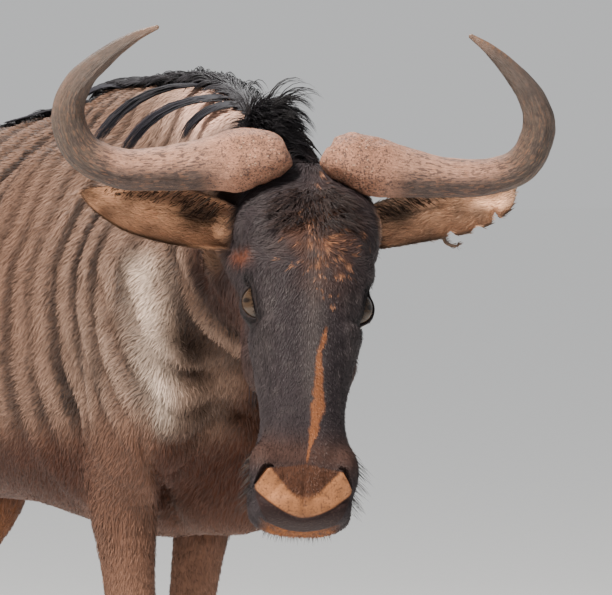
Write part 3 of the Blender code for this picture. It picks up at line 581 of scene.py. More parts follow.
def muzzle_relief(points):
    """Depth of the mouth's slit, the groove down the middle and the soft edges of the pad."""
    across, up, forward = in_front(points).T
    over = over_mouth(points)
    middle = np.abs(across)
    slit = 0.0058 * bell(over, 0.0, 0.0025)
    lower_lip = 0.0036 * ramp(over, 0.001, -0.004) * ramp(over, -0.030, -0.016)
    front = ramp(middle, 0.062, 0.052) * ramp(over, 0.004, 0.010)
    lip_edge = 0.0018 * bell(up - pad_bottom(across), -0.002, 0.0035)
    groove = 0.0024 * bell(across, 0.0, 0.0035) * bell(up, -0.234, 0.020)
    bend = middle - 0.030 + 0.55 * (up + 0.222) - 12 * (up + 0.222) ** 2
    wing = 0.0026 * bell(bend, 0.0, 0.0050) * bell(up, -0.220, 0.014)
    return lips(points) * (slit + lower_lip) + front * (lip_edge + groove + wing)


print("pad, from the middle out:", pad_bottom(np.array([-0.003, 0.03, 0.055])).round(3))

# %% [markdown]
# ## From field to mesh
# A net of quads round the zero of the field gives a closed mesh with even faces. Coarse cells
# do for the trunk, while the neck, the face and the eyes need finer ones, so those places are
# split again and every new point is moved on to the surface.

# %% A net round the field
def net(field, low, high, cell):
    """Closed quads where the field is zero: one point in each cell that the surface crosses, at
    the middle of its edge crossings, and one quad round each crossed edge."""
    counts = np.ceil((np.array(high) - low) / cell).astype(int) + 1
    axes = [low[k] + cell * np.arange(counts[k]) for k in range(3)]
    lattice = np.stack(np.meshgrid(*axes, indexing="ij"), -1).reshape(-1, 3)
    value = field(lattice).reshape(counts)
    total, hits = np.zeros((*(counts - 1), 3)), np.zeros(counts - 1)
    corner = np.stack(np.meshgrid(*(np.arange(n - 1) for n in counts), indexing="ij"), -1)
    for k in range(3):
        others = [j for j in range(3) if j != k]
        for shift in ((0, 0), (1, 0), (0, 1), (1, 1)):
            move = np.zeros(3, int)
            move[others] = shift
            ahead = move + np.eye(3, dtype=int)[k]
            first = value[tuple(slice(m, m + n - 1) for m, n in zip(move, counts))]
            second = value[tuple(slice(m, m + n - 1) for m, n in zip(ahead, counts))]
            crossed = (first < 0) != (second < 0)
            share = np.where(crossed, first / np.where(crossed, first - second, 1), 0)
            total += (corner + move + share[..., None] * np.eye(3)[k]) * crossed[..., None]
            hits += crossed
    used = hits > 0
    index = np.full(used.shape, -1)
    index[used] = np.arange(used.sum())
    points = np.array(low) + cell * total[used] / hits[used][:, None]
    quads = []
    for k in range(3):
        a, b = [(1, 2), (2, 0), (0, 1)][k]
        inner = [slice(1, -1)] * 3
        inner[k] = slice(0, -1)
        after = list(inner)
        after[k] = slice(1, None)
        first, second = value[tuple(inner)], value[tuple(after)]
        for inward in (True, False):
            edge = np.argwhere((first < 0) & (second >= 0) if inward else (first >= 0) & (second < 0))
            edge += [0 if j == k else 1 for j in range(3)]
            ring = []
            for da, db in ((1, 1), (0, 1), (0, 0), (1, 0)):
                at = edge.copy()
                at[:, a] -= da
                at[:, b] -= db
                ring.append(index[tuple(at.T)])
            quads.append(np.stack(ring if inward else ring[::-1], 1))
    return points, np.vstack(quads)


def slope_of(field, points, step=0.0005):
    here = field(points)
    return here, np.stack([(field(points + step * axis) - here) / step for axis in np.eye(3)], 1)


def on_surface(field, points, most):
    """Points moved along the field's slope towards where it is zero, by at most this much."""
    here, slope = slope_of(field, points)
    move = -(here / ((slope**2).sum(1) + 1e-6))[:, None] * slope
    length = np.linalg.norm(move, axis=1)
    return points + move * np.minimum(1, most / (length + 1e-12))[:, None]


def refined(work, zone):
    """The mesh with every edge inside the zone halved, and the faces round it split to match."""
    places = np.array([vert.co for vert in work.verts])
    inside = zone(places)
    edges = [e for e in work.edges if inside[e.verts[0].index] and inside[e.verts[1].index]]
    bmesh.ops.subdivide_edges(work, edges=edges, cuts=1, use_grid_fill=True)
    work.verts.index_update()
    work.verts.ensure_lookup_table()


def settle(work, rounds, most):
    """Every point of the mesh moved on to the skin."""
    places = np.array([vert.co for vert in work.verts])
    for _ in range(rounds):
        places = on_surface(skin_field, places, most)
    for vert, place in zip(work.verts, places):
        vert.co = place


def neck_and_head(points):
    near = np.linalg.norm(points - HEAD_PLACE, axis=1) < 0.40
    return near | ((in_neck(points)[:, 1] > 0.10) & (points[:, 1] < -0.10))


def face_zone(points):
    across, up, out = in_face(points).T
    return (np.abs(across) < 0.13) & (up > -0.36) & (up < 0.20) & (out > -0.10)


def fine_zone(points):
    """Round the muzzle's front, and round each eye."""
    across, up, out = in_face(points).T
    muzzle = (up < -0.195) & (out > -0.055)
    eye = np.linalg.norm(
        np.stack([np.abs(across), up, out], 1) - np.array([0.078, 0.0, 0.024]), axis=1
    ) < 0.040
    return muzzle | eye


SKIN_CELL = 0.0135
SKIN_LOW, SKIN_HIGH = (-0.36, -0.90, -0.02), (0.36, 1.28, 1.46)
skin_points, skin_quads = net(skin_field, SKIN_LOW, SKIN_HIGH, SKIN_CELL)
print("coarse skin:", len(skin_points), "points,", len(skin_quads), "quads")

# %% [markdown]
# ## Ears
# An ear is a cupped leaf of thin skin on a narrow root. It is made as a grid along and across
# the leaf: the inner face, and the outer face a few millimetres behind it. The left ear is
# torn: its lower edge has a bite near the tip, and a strip of skin hangs from it.

# %% Ears as two-sided leaves
EAR_RIGHT = {
    "root": (-0.078, 0.098, -0.058),
    "tip": (-0.288, 0.148, -0.080),
    "edges": ((-0.22, 0.020, 0.022), (0.0, 0.026, 0.028), (0.2, 0.034, 0.036), (0.45, 0.036, 0.040),
              (0.7, 0.026, 0.036), (0.9, 0.012, 0.020), (0.975, 0.0055, 0.0075), (1.0, 0.0012, 0.0012)),
    "tears": (),
}
EAR_LEFT = {
    "root": (0.078, 0.098, -0.058),
    "tip": (0.282, 0.153, -0.080),
    "edges": ((-0.22, 0.020, 0.022), (0.0, 0.026, 0.028), (0.2, 0.030, 0.034), (0.45, 0.031, 0.039),
              (0.7, 0.026, 0.042), (0.88, 0.014, 0.033), (0.96, 0.010, 0.022), (1.0, 0.002, 0.004)),
    "tears": ((0.83, 0.016, 0.017), (0.70, 0.030, 0.007), (0.53, 0.022, 0.010)),  # place, half, depth
}
EAR_ROWS, EAR_COLUMNS = 62, 30


def ear_frame(ear):
    """Root, and the axes along the ear, up across it, and out of its open side."""
    root, tip = upright(ear["root"]), upright(ear["tip"])
    along = unit(tip - root)
    out = unit(UPRIGHT_AXES[2] - along * (UPRIGHT_AXES[2] @ along))
    up = np.cross(out, along)
    return root, tip, along, up * np.sign(up[2]), out


def ear_place(ear, share, across, sunk=0.0):
    """A point of the inner face: along the ear by its share, then up or down across it, then
    back into the cup, which is deepest on its middle line and shallower towards the tip. The
    rims roll forward a little. Sunk moves the point back through the leaf."""
    root, tip, along, up, out = ear_frame(ear)
    table = smooth_rows(ear["edges"], 12)
    upper = np.interp(share, table[:, 0], table[:, 1])
    lower = np.interp(share, table[:, 0], table[:, 2])
    for place, half, depth in ear["tears"]:
        lower = lower - depth * bell(share, place, half)
    height = np.where(across > 0, across * upper, across * lower)
    body = np.clip(share, 0, 1)
    cup = (1 - np.abs(across) ** 2.4) * np.minimum(upper, lower) * (1.0 - 0.45 * body)
    cup = cup * ramp(share, 1.0, 0.85) ** 0.5 + 0.002 * np.sin(share * 23) * (1 - across**2)
    rim = 0.0025 * ramp(np.abs(across), 0.82, 1.0)
    place = root + share[..., None] * (tip - root) + height[..., None] * up
    return place + (rim - cup - sunk)[..., None] * out


def make_solid(name, points, faces):
    """A closed mesh of mixed faces, set in the model's frame with its faces outward."""
    mesh = bpy.data.meshes.new(name)
    mesh.from_pydata((points + WITHERS).tolist(), [], faces)
    made = bpy.data.objects.new(name, mesh)
    bpy.context.scene.collection.objects.link(made)
    work = bmesh.new()
    work.from_mesh(mesh)
    bmesh.ops.remove_doubles(work, verts=work.verts[:], dist=1e-6)
    bmesh.ops.recalc_face_normals(work, faces=work.faces[:])
    bmesh.ops.triangulate(work, faces=work.faces[:])
    work.to_mesh(mesh)
    work.free()
    mesh.shade_smooth()
    return made


def make_ear(name, ear):
    """The leaf's inner and outer face, joined along the rim and across both ends."""
    share = np.linspace(-0.22, 1.0, EAR_ROWS)[:, None] * np.ones(EAR_COLUMNS)
    across = np.sin(np.linspace(-pi / 2, pi / 2, EAR_COLUMNS))[None, :] * np.ones((EAR_ROWS, 1))
    thick = 0.0035 + 0.012 * ramp(share, 0.05, -0.2)
    thick = thick * (0.35 + 0.65 * (1 - np.abs(across) ** 6))
    inner = ear_place(ear, share, across)
    outer = ear_place(ear, share, across, thick)
    ring = np.concatenate([inner, outer[:, ::-1]], 1)
    columns = 2 * EAR_COLUMNS
    first = (np.arange(EAR_ROWS - 1)[:, None] * columns + np.arange(columns)).ravel()
    after = (np.arange(EAR_ROWS - 1)[:, None] * columns + (np.arange(columns) + 1) % columns).ravel()
    quads = np.stack([first, after, after + columns, first + columns], 1)
    start, end = ring[:1].mean(1), ring[-1:].mean(1)
    points = np.vstack([ring.reshape(-1, 3), start, end])
    turn = np.arange(columns)
    after = (turn + 1) % columns
    last = (EAR_ROWS - 1) * columns
    size = EAR_ROWS * columns
    caps = [np.stack([after, turn, np.full(columns, size)], 1),
            np.stack([last + turn, last + after, np.full(columns, size + 1)], 1)]
    return make_solid(name, points, quads.tolist() + np.vstack(caps).tolist())


def swept(name, rows, side_way, sides=20, per_span=6):
    """A closed tube along a path: rows hold a place, a half width along side_way and a half
    thickness; it ends in a point at both ends."""
    table = smooth_rows(rows, per_span)
    path = table[:, :3]
    tangent = unit(np.gradient(path, axis=0))
    wide = unit(side_way - tangent * (tangent @ side_way)[:, None])
    thick = np.cross(tangent, wide)
    turn = 2 * pi * np.arange(sides) / sides
    ring = np.cos(turn)[None, :, None] * wide[:, None] * table[:, 3, None, None]
    ring = path[:, None] + ring + np.sin(turn)[None, :, None] * thick[:, None] * table[:, 4, None, None]
    points = np.vstack([ring.reshape(-1, 3), path[:1], path[-1:]])
    rows_count = len(table)
    first = (np.arange(rows_count - 1)[:, None] * sides + np.arange(sides)).ravel()
    after = (np.arange(rows_count - 1)[:, None] * sides + (np.arange(sides) + 1) % sides).ravel()
    faces = np.stack([first, after, after + sides, first + sides], 1).tolist()
    size, last = rows_count * sides, (rows_count - 1) * sides
    faces += [[(j + 1) % sides, j, size] for j in range(sides)]
    faces += [[last + j, last + (j + 1) % sides, size + 1] for j in range(sides)]
    return make_solid(name, points, faces)


def make_strip():
    """The strip of skin that dangles from the torn ear's lower edge: a small curled tube."""
    share = np.array([0.50, 0.47, 0.44])
    start = ear_place(EAR_LEFT, share, np.array([-0.86, -0.97, -1.0]), 0.0015)
    root, tip, along, up, out = ear_frame(EAR_LEFT)
    path = [start[0], start[1] - 0.006 * up + 0.004 * along, start[1] - 0.013 * up + 0.010 * along,
            start[1] - 0.016 * up + 0.018 * along, start[1] - 0.013 * up + 0.022 * along]
    rows = [(*place, 0.0026 - 0.0003 * k, 0.0016) for k, place in enumerate(path)]
    return swept("ear_left_strip", rows, along)


ears = [make_ear("ear_right_leaf", EAR_RIGHT), make_ear("ear_left_leaf", EAR_LEFT)]
print("each ear:", len(ears[0].data.polygons), "faces")

# %% [markdown]
# ## Lids and nostrils
# The field already swells over each eye's ball by the thickness of a lid. The gap between the
# lids could be pressed out of the field too, but its sharp edge would come out ragged. So an
# almond-shaped plug is taken out of the skin, and a thin rounded rim is joined to its edge.
# The nostrils are slits made the same way, with curved plugs that taper at both ends.

# %% The two eyes' frames and lids
GAZE = (0.80, -0.06, 0.60)  # across, up the face, out of it, for the left eye
EYE_LONG = (0.16, 0.97, -0.10)  # the long way of the opening, in the same axes
LID_SIDES = 96
OPEN_HALF = 0.0275  # half length of the opening between the lids
OPEN_UPPER, OPEN_LOWER = 0.0108, 0.0124  # how far the upper and lower lid stand from its middle
LID_EDGE = 0.0013  # radius of the rounded edge


def eye_frame(side):
    """Middle of the eye, and its axes: along the opening, across it towards the brow, gaze."""
    centre = face_point((side * EYE_PLACE[0], *EYE_PLACE[1:]))
    gaze = unit(np.array([side * GAZE[0], GAZE[1], GAZE[2]]) @ FACE_AXES)
    long = np.array([side * EYE_LONG[0], EYE_LONG[1], EYE_LONG[2]]) @ FACE_AXES
    long = unit(long - gaze * (long @ gaze))
    brow = np.cross(gaze, long)
    brow *= np.sign(brow @ (np.array([-side, 0.0, 0.35]) @ FACE_AXES))
    return centre, np.array([long, brow, gaze])


def lid_outline(turn):
    """The opening as an almond: a cosine along it, and a sharpened sine across it."""
    rise = np.sin(turn)
    high = np.where(rise > 0, OPEN_UPPER, -OPEN_LOWER) * np.abs(rise) ** 1.25
    return OPEN_HALF * np.cos(turn), high


def over_ball(along, high, radius):
    """A flat place of the opening, wrapped on to a ball round the eye's middle."""
    reach = np.hypot(along, high) + 1e-9
    angle = reach / EYE_RADIUS
    share = np.sin(angle) / reach
    return np.stack([radius * along * share, radius * high * share, radius * np.cos(angle)], -1)


def ring_quads(rings, sides, closed):
    """Quads of a grid whose columns run round; the last ring joins the first where closed."""
    first = np.arange(rings)[:, None] * sides + np.arange(sides)
    across = np.roll(first, -1, 1)
    quads = np.stack([first, across, np.roll(across, -1, 0), np.roll(first, -1, 0)], -1)
    return (quads if closed else quads[:-1]).reshape(-1, 4)


def make_opening(name, side):
    """The almond carried from inside the eye's ball to well outside the lids, widening a little,
    with both ends closed: what it takes out of the skin is the gap between the lids."""
    centre, axes = eye_frame(side)
    along, high = lid_outline(2 * pi * np.arange(LID_SIDES) / LID_SIDES)
    radii = np.array([0.45, 0.75, 0.95, 1.10, 1.25, 1.5]) * EYE_RADIUS
    rings = np.stack([over_ball(along, high, radius) for radius in radii])
    points = np.vstack([rings.reshape(-1, 3), [[0, 0, radii[0] * 0.9]], [[0, 0, radii[-1] * 1.02]]])
    faces = ring_quads(len(radii), LID_SIDES, False).tolist()
    size, last = len(radii) * LID_SIDES, (len(radii) - 1) * LID_SIDES
    faces += [[(j + 1) % LID_SIDES, j, size] for j in range(LID_SIDES)]
    faces += [[last + j, last + (j + 1) % LID_SIDES, size + 1] for j in range(LID_SIDES)]
    return make_solid(name, centre + points @ axes, faces)


def make_lid_rim(name, side):
    """A thin closed tube along the almond: the rounded, wet edge of both lids."""
    centre, axes = eye_frame(side)
    turn = 2 * pi * np.arange(LID_SIDES) / LID_SIDES
    along, high = lid_outline(turn)
    path = over_ball(along, high, EYE_RADIUS + 0.0013)
    tangent = unit(np.roll(path, -1, 0) - np.roll(path, 1, 0))
    outward = unit(path)
    sideways = np.cross(tangent, outward)
    about = 2 * pi * np.arange(12)[:, None, None] / 12
    ring = path + LID_EDGE * (np.cos(about) * outward * 1.25 + np.sin(about) * sideways)
    points = centre + ring.reshape(-1, 3) @ axes
    return make_solid(name, points, ring_quads(12, LID_SIDES, True).tolist())


def seen_from_front(across, up):
    """The place on the skin that a viewer in front of the face sees at each across and up: the
    first zero met along a line that comes from ahead."""
    depth = np.linspace(0.20, -0.10, 121)
    line = np.stack(np.broadcast_arrays(across[:, None], up[:, None], depth[None]), -1)
    places = HEAD_PLACE + line.reshape(-1, 3) @ FRONT_AXES
    value = (head_field(places) + 0.002).reshape(len(across), -1)
    first = np.argmax(value < 0, axis=1)
    row = np.arange(len(across))
    before, after = value[row, first - 1], value[row, first]
    at = depth[first - 1] + (depth[first] - depth[first - 1]) * before / (before - after)
    return HEAD_PLACE + np.stack([across, up, at], -1) @ FRONT_AXES


# Places across and up from in front, half depth and half width of the slit
NOSTRIL = (
    (-0.0400, -0.2050, 0.0030, 0.0010),
    (-0.0460, -0.2015, 0.0080, 0.0032),
    (-0.0520, -0.2030, 0.0120, 0.0042),
    (-0.0570, -0.2105, 0.0120, 0.0036),
    (-0.0610, -0.2190, 0.0090, 0.0026),
    (-0.0635, -0.2270, 0.0040, 0.0012),
)


def make_nostril(name, side):
    """A curved plug on the muzzle's surface: its depth goes into the head, and it is thickest
    at the inner, upper end of the slit."""
    rows = np.array(NOSTRIL)
    across = -side * rows[:, 0]
    places = seen_from_front(across, rows[:, 1])
    inward = unit(face_point((0, -0.19, -0.02)) - places[2])
    table = np.column_stack([places, rows[:, 2], rows[:, 3]])
    return swept(name, table, inward)


openings = [make_opening("opening_right", -1), make_opening("opening_left", 1)]
rims = [make_lid_rim("lid_rim_right", -1), make_lid_rim("lid_rim_left", 1)]
nostrils = [make_nostril("nostril_right_plug", -1), make_nostril("nostril_left_plug", 1)]
print("opening:", len(openings[0].data.polygons), "faces; nostril:", len(nostrils[0].data.polygons))

# %% [markdown]
# ## One skin
# Now everything becomes one closed surface. The net is refined where the form is fine, the
# gaps for the eyes and nostrils are cut, and the ears and lid rims are joined on.
# The Manifold solver is used, because all the meshes are closed and it is the quick one.

# %% Build the skin
def join(made, other, operation):
    cut = made.modifiers.new("meets", "BOOLEAN")
    cut.operation = operation
    cut.solver = "MANIFOLD"
    cut.object = other
    graph = bpy.context.evaluated_depsgraph_get()
    mesh = bpy.data.meshes.new_from_object(made.evaluated_get(graph))
    made.modifiers.clear()
    made.data = mesh
    bpy.data.objects.remove(other, do_unlink=True)


work = bmesh.new()
mesh = bpy.data.meshes.new("net")
mesh.from_pydata(skin_points.tolist(), [], skin_quads.tolist())
work.from_mesh(mesh)
settle(work, 2, SKIN_CELL / 2)
for zone in (neck_and_head, face_zone, fine_zone):
    refined(work, zone)
    settle(work, 1, 0.003)
settle(work, 2, 0.002)
for vert in work.verts:
    vert.co = vert.co + Vector(WITHERS)
bmesh.ops.triangulate(work, faces=work.faces[:])
bmesh.ops.recalc_face_normals(work, faces=work.faces[:])
mesh = bpy.data.meshes.new("skin")
work.to_mesh(mesh)
work.free()
skin = bpy.data.objects.new("skin", mesh)
bpy.context.scene.collection.objects.link(skin)
print("skin before joining:", len(mesh.polygons), "triangles")
for part in openings + nostrils:
    join(skin, part, "DIFFERENCE")
for part in ears + [make_strip()] + rims:
    join(skin, part, "UNION")
skin.name = "skin"
skin.data.name = "skin"
skin.data.shade_smooth()
print("skin:", len(skin.data.polygons), "faces")

# %% [markdown]
# ## Markings
# The skin and the coat over it carry the same colours, so one rule gives the colour at a place
# and both use it. The trunk is brown-grey with soft dark stripes that hang from the crest and
# the back. The face is near black with an ash-grey crest, and dried mud clings to it.

# %% The colour at a place
HIDE = np.array([0.152, 0.090, 0.064])
PALE = np.array([0.52, 0.42, 0.35])
PINK = np.array([0.70, 0.44, 0.35])
BAND = np.array([0.030, 0.019, 0.015])
UNDER = np.array([0.058, 0.023, 0.0135])
FORELEG_TONE = np.array([0.165, 0.092, 0.064])
HINDLEG_TONE = np.array([0.23, 0.105, 0.050])
FACE = np.array([0.0350, 0.0275, 0.0305])
ASH = np.array([0.080, 0.068, 0.066])
RUST = np.array([0.15, 0.050, 0.024])
STREAK = np.array([0.215, 0.090, 0.041])
MUD = np.array([0.42, 0.21, 0.115])
STAIN = np.array([0.105, 0.048, 0.028])
PAD = np.array([0.30, 0.142, 0.070])
PAD_DARK = np.array([0.080, 0.038, 0.024])
LIP_DARK = np.array([0.022, 0.0070, 0.0025])
LIP_TAN = np.array([0.23, 0.090, 0.030])
EAR_INSIDE = np.array([0.86, 0.50, 0.31])
HAIR = np.array([0.0062, 0.0056, 0.0068])


def mix(a, b, share):
    """One colour going over into another by a share for each point."""
    return a + (b - a) * np.clip(share, 0, 1)[:, None]


def on_head(points):
    """1 on the head, 0 on the neck, over a soft border behind the jaw and the ears."""
    across, up, out = in_face(points).T
    return ramp(out - 0.25 * up, -0.175, -0.125) * ramp(np.hypot(up + 0.06, out), 0.36, 0.30)


def ear_shares(points, ear):
    """How far along an ear a point lies, 1 where it is on that ear, how far out of its open
    side it is, and where it is across the leaf, from -1 at the lower rim to 1 at the upper."""
    root, tip, along, up, out = ear_frame(ear)
    step = points - root
    share = step @ along / np.linalg.norm(tip - root)
    away = np.linalg.norm(step - (step @ along)[:, None] * along, axis=1)
    table = smooth_rows(ear["edges"], 12)
    rise = step @ up
    edge = np.where(rise > 0, *(np.interp(share, table[:, 0], table[:, k]) for k in (1, 2)))
    here = ramp(share, 0.04, 0.13) * ramp(away, 0.085, 0.065)
    return share, here, step @ out, rise / np.maximum(edge, 0.002)


def body_tone(points):
    """Colour of the trunk, the neck, the legs and the tail, with painted sunlight on the neck's side towards the
    camera and painted shade under the throat, the chest and the belly and in the neck's folds.
    """
    across, along, rise = in_neck(points).T
    height, back = points[:, 2], points[:, 1]
    patch = 0.5 + 0.5 * noise(points, 0.16, 7)
    tone = mix(np.tile(HIDE, (len(points), 1)), PALE, 0.07 * patch)
    on_neck = ramp(along, 0.02, 0.20)
    seen, high = in_view(points)
    # Painted sunlight falls on the neck's side towards the camera: a pale, streaky patch down it (light), placed where
    # it lies in the picture.
    facing = ramp(across, -0.02, 0.03) * ramp(back, 0.12, 0.02)
    slant = seen + 0.197 + 0.10 * (high + 0.05)
    light = bell(slant, 0.0, 0.024) * ramp(high, 0.09, 0.04) * ramp(high, -0.19, -0.11)
    # The nape's pale hair with painted sunlight on it, on the side towards the camera only.
    nape = bell(seen, -0.122, 0.050) * bell(high, 0.250, 0.040)
    streaks = 0.86 + 0.42 * noise(points * [1, 1, 0.3], 0.020, 16)
    pale = facing * np.clip(light * streaks + nape, 0, 1) * (0.8 + 0.4 * patch)
    ridge, place = fold_lines(points)
    # The neck is a little paler all over, and the folds' ridges get painted light.
    tone = mix(tone, PALE, 0.06 * on_neck + 0.15 * place * ridge)
    tone = mix(tone, BAND, 0.95 * bands(points))
    # Painted shade in the folds' creases.
    tone = mix(tone, BAND, 0.95 * place * (1 - ridge) ** 1.3)
    # Painted shade under the chest.
    tone = mix(tone, UNDER, 0.9 * ramp(height, 0.93, 0.80) * ramp(back, 0.15, -0.05))
    # Painted shade under the throat, left out where the painted sunlight falls (lit).
    lit = facing * ramp(high, -0.21, -0.14)
    tone = mix(tone, UNDER, 0.85 * ramp(rise, -0.10, -0.17) * on_neck * (1 - lit))
    # Painted shade along the belly and the low flanks.
    tone = mix(tone, UNDER, 0.95 * ramp(height, 0.94, 0.86))
    # Painted sunlight: the pale patch and the nape, kept darker in the folds' creases.
    tone = mix(tone, PALE, 0.80 * pale * (1 - 0.55 * place * (1 - ridge)))
    # Painted sunlight on the nape's pale hair: pale pink.
    tone = mix(tone, PINK, 0.85 * facing * nape)
    # Painted shade on the chest beside the near foreleg, on the side towards the camera.
    tone = mix(tone, UNDER, facing * ramp(seen, -0.200, -0.180) * ramp(high, -0.19, -0.24))
    elbow = facing * ramp(seen, -0.190, -0.205) * ramp(seen, -0.300, -0.265) * ramp(height, 0.98, 0.90)
    tone = mix(tone, FORELEG_TONE * 0.8, 0.7 * elbow)
    fore = ramp(height, 0.84, 0.66) * ramp(back, 0.42, 0.38)
    hind = ramp(height, 0.84, 0.62) * ramp(back, 0.46, 0.50)
    tone = mix(tone, FORELEG_TONE, fore)
    tone = mix(tone, HINDLEG_TONE, hind)
    tone = mix(tone, BAND, 0.45 * fore * ramp(noise(points * [1, 1, 0.4], 0.03, 8), 0.1, 0.9))
    tone = mix(tone, BAND, 0.75 * ramp(height, 0.115, 0.07))
    tone = mix(tone, HAIR, ramp(back, 1.13, 1.15) * ramp(height, 1.02, 0.92))
    spine = bell(points[:, 0], 0.0, 0.035) * ramp(height, 1.18, 1.24) * ramp(back, -0.15, 0.0)
    return mix(tone, BAND, 0.75 * spine)


def face_tone(points):
    """Colour of the head, with the bare parts of the muzzle laid over it."""
    across, up, out = in_face(points).T
    seen, high, _ = in_front(points).T
    x, y = in_view(points)
    side, over = np.abs(across), over_mouth(points)
    front = ramp(out, 0.0, 0.02)
    tone = np.tile(FACE, (len(points), 1))
    tone = mix(tone, ASH, 0.55 * bell(across, 0.004, 0.014) * ramp(up, 0.12, 0.04) * ramp(up, -0.20, -0.12))
    tone = mix(tone, ASH, 0.25 * bell(side, 0.058, 0.012) * bell(up, -0.06, 0.07))
    tone = mix(tone, ASH, 0.25 * ramp(noise(points, 0.012, 9), 0.1, 0.9))
    stain = bell(x, 0.030, 0.034) * bell(y, 0.085, 0.055) + 0.5 * bell(x, -0.01, 0.03) * bell(y, 0.10, 0.03)
    tone = mix(tone, STAIN, front * np.clip(stain, 0, 1) * (0.6 + 0.5 * noise(points, 0.014, 10)))
    tone = mix(tone, UNDER, 0.7 * ramp(out, -0.02, -0.10))
    tone = mix(tone, STAIN, 0.38 * bell(high, -0.185, 0.022) * ramp(out, -0.01, 0.02))
    tone = mix(tone, RUST, 0.9 * bell(x, -0.083, 0.012) * bell(y, 0.066, 0.010))
    heights = (-0.199, -0.180, -0.160, -0.141, -0.121, -0.095, -0.063, -0.043, -0.028)
    middle = np.interp(y, heights, (0.0013, 0.0052, 0.0100, 0.0143, 0.0165, 0.0175, 0.0156, 0.0221, 0.0262))
    width = np.interp(y, heights, (0.0010, 0.0030, 0.0058, 0.0078, 0.0084, 0.0052, 0.0026, 0.0036, 0.0022))
    ragged = width * (1 + 0.4 * noise(points, 0.008, 11))
    streak = ramp(np.abs(x - middle), ragged * 1.2, ragged * 0.75)
    tone = mix(tone, STREAK, 0.9 * front * streak * ramp(y, -0.024, -0.030) * ramp(y, -0.205, -0.198))
    for hand in (-1, 1):
        centre, axes = eye_frame(hand)
        local = (points - centre) @ axes.T
        near = np.hypot(local[:, 0] / (OPEN_HALF + 0.003), local[:, 1] / (OPEN_LOWER + 0.004))
        tone = mix(tone, FACE * 0.50, ramp(near, 1.6, 1.1) * (local[:, 2] > 0))
    fleck = mud(x, y) * front
    tone = mix(tone, MUD, 0.5 * fleck)
    bare = ramp(over, 0.0, 0.004) * ramp(up, -0.175, -0.190) * ramp(np.abs(seen) - pad_side(high), 0.0015, -0.002)
    bare = bare * ramp(out, -0.04, -0.02)
    tone = mix(tone, LIP_DARK, bare)
    pad = bare * ramp(high - pad_bottom(seen), -0.0015, 0.002)
    tone = mix(tone, PAD_DARK, pad)
    tan = pad * ramp(high - pad_top(seen), 0.004 + 0.010 * ramp(np.abs(seen), 0.02, 0.0), -0.002)
    shadow = 1 - 0.32 * bell(seen, 0.0, 0.024) + 0.26 * noise(points, 0.009, 12)
    tone = mix(tone, PAD * shadow[:, None], tan)
    lower = lips(points) * ramp(over, 0.0, -0.002) * ramp(over, -0.050, -0.030)
    lower = lower * ramp(np.abs(seen), 0.056, 0.036) * (0.72 + 0.5 * noise(points, 0.0045, 13))
    tone = mix(tone, LIP_TAN, 0.9 * lower)
    return mix(tone, LIP_DARK, 0.9 * lips(points) * bell(over, 0.0, 0.0022))


def mud(x, y):
    """Dried flecks in the hair, mostly on the right half of the forehead in the picture: many
    small ones at seeded random places and five large ones."""
    source = np.random.default_rng(3)
    spots = np.stack([source.normal(0.026, 0.022, 150), source.normal(0.085, 0.040, 150)], 1)
    sizes = source.uniform(0.0005, 0.0016, 150)
    large = np.array([(0.048, 0.102), (0.055, 0.053), (0.046, 0.040), (0.028, 0.074), (0.016, 0.054)])
    spots, sizes = np.vstack([spots, large]), np.append(sizes, [0.0042, 0.0045, 0.0040, 0.0034, 0.0030])
    share = np.zeros(len(x))
    near = np.flatnonzero((x > -0.05) & (x < 0.11) & (y > -0.04) & (y < 0.21))
    warp = 0.0016 * noise(np.stack([x[near], y[near], 0 * near], 1), 0.0030, 14)
    for (at, high), size in zip(spots, sizes):
        away = np.hypot(x[near] - at, y[near] - high) + warp
        share[near] = np.maximum(share[near], ramp(away, size * 1.25, size * 0.75))
    return share


def tone_at(points):
    """The linear colour of skin and coat at each place, as it is in even light."""
    tone = mix(body_tone(points), face_tone(points), on_head(points))
    for ear in (EAR_RIGHT, EAR_LEFT):
        share, here, out, across = ear_shares(points, ear)
        leaf = np.tile(EAR_INSIDE, (len(points), 1))
        leaf = mix(leaf, HIDE, 0.55 * ramp(noise(points, 0.022, 15), -0.2, 0.8))
        leaf = mix(leaf, UNDER, 0.65 * ramp(across, 0.0, 0.55) * ramp(share, 0.85, 0.55))
        # Darker in the cup's deep middle near the root: the ear's dark root colour and painted shade in the hollow.
        leaf = mix(leaf, BAND, 0.9 * bell(share, 0.27, 0.13) * bell(across, 0.15, 0.45))
        leaf = mix(leaf, BAND, 0.85 * ramp(np.abs(across), 0.88, 0.99))
        leaf = mix(leaf, BAND, 0.7 * ramp(share, 0.86, 0.99) + 0.5 * bell(across, 0.05, 0.10) * ramp(share, 0.8, 0.4))
        tone = mix(tone, mix(leaf, PALE, 0.16 + 0 * share) if ear is EAR_LEFT else leaf, here)
    return 0.74 * tone**1.16


def bare_at(points):
    """1 on the muzzle's bare pad and lips and on the edges of the lids."""
    seen, high, _ = in_front(points).T
    across, up, out = in_face(points).T
    over = over_mouth(points)
    bare = ramp(over, 0.0, 0.004) * ramp(up, -0.175, -0.190) * ramp(out, -0.04, -0.02)
    bare = bare * ramp(np.abs(seen) - pad_side(high), 0.0015, -0.002)
    bare = bare * ramp(high - pad_top(seen), 0.004, -0.001)
    bare = np.maximum(bare, lips(points) * bell(over, -0.001, 0.0035))
    for side in (-1, 1):
        centre, axes = eye_frame(side)
        local = (points - centre) @ axes.T
        near = np.hypot(local[:, 0] / (OPEN_HALF + 0.003), local[:, 1] / (OPEN_LOWER + 0.004))
        bare = np.maximum(bare, ramp(near, 1.1, 0.95) * (local[:, 2] > 0))
    return bare


print("shoulder colour:", tone_at(np.array([[-0.2, -0.05, 1.1]])).round(3))

# %% [markdown]
# ## Materials
# A shader is a sum of simple things, so a small class lets it be written as a sum. A wire is
# one value in the node tree, and adding or multiplying wires adds the nodes that do it.

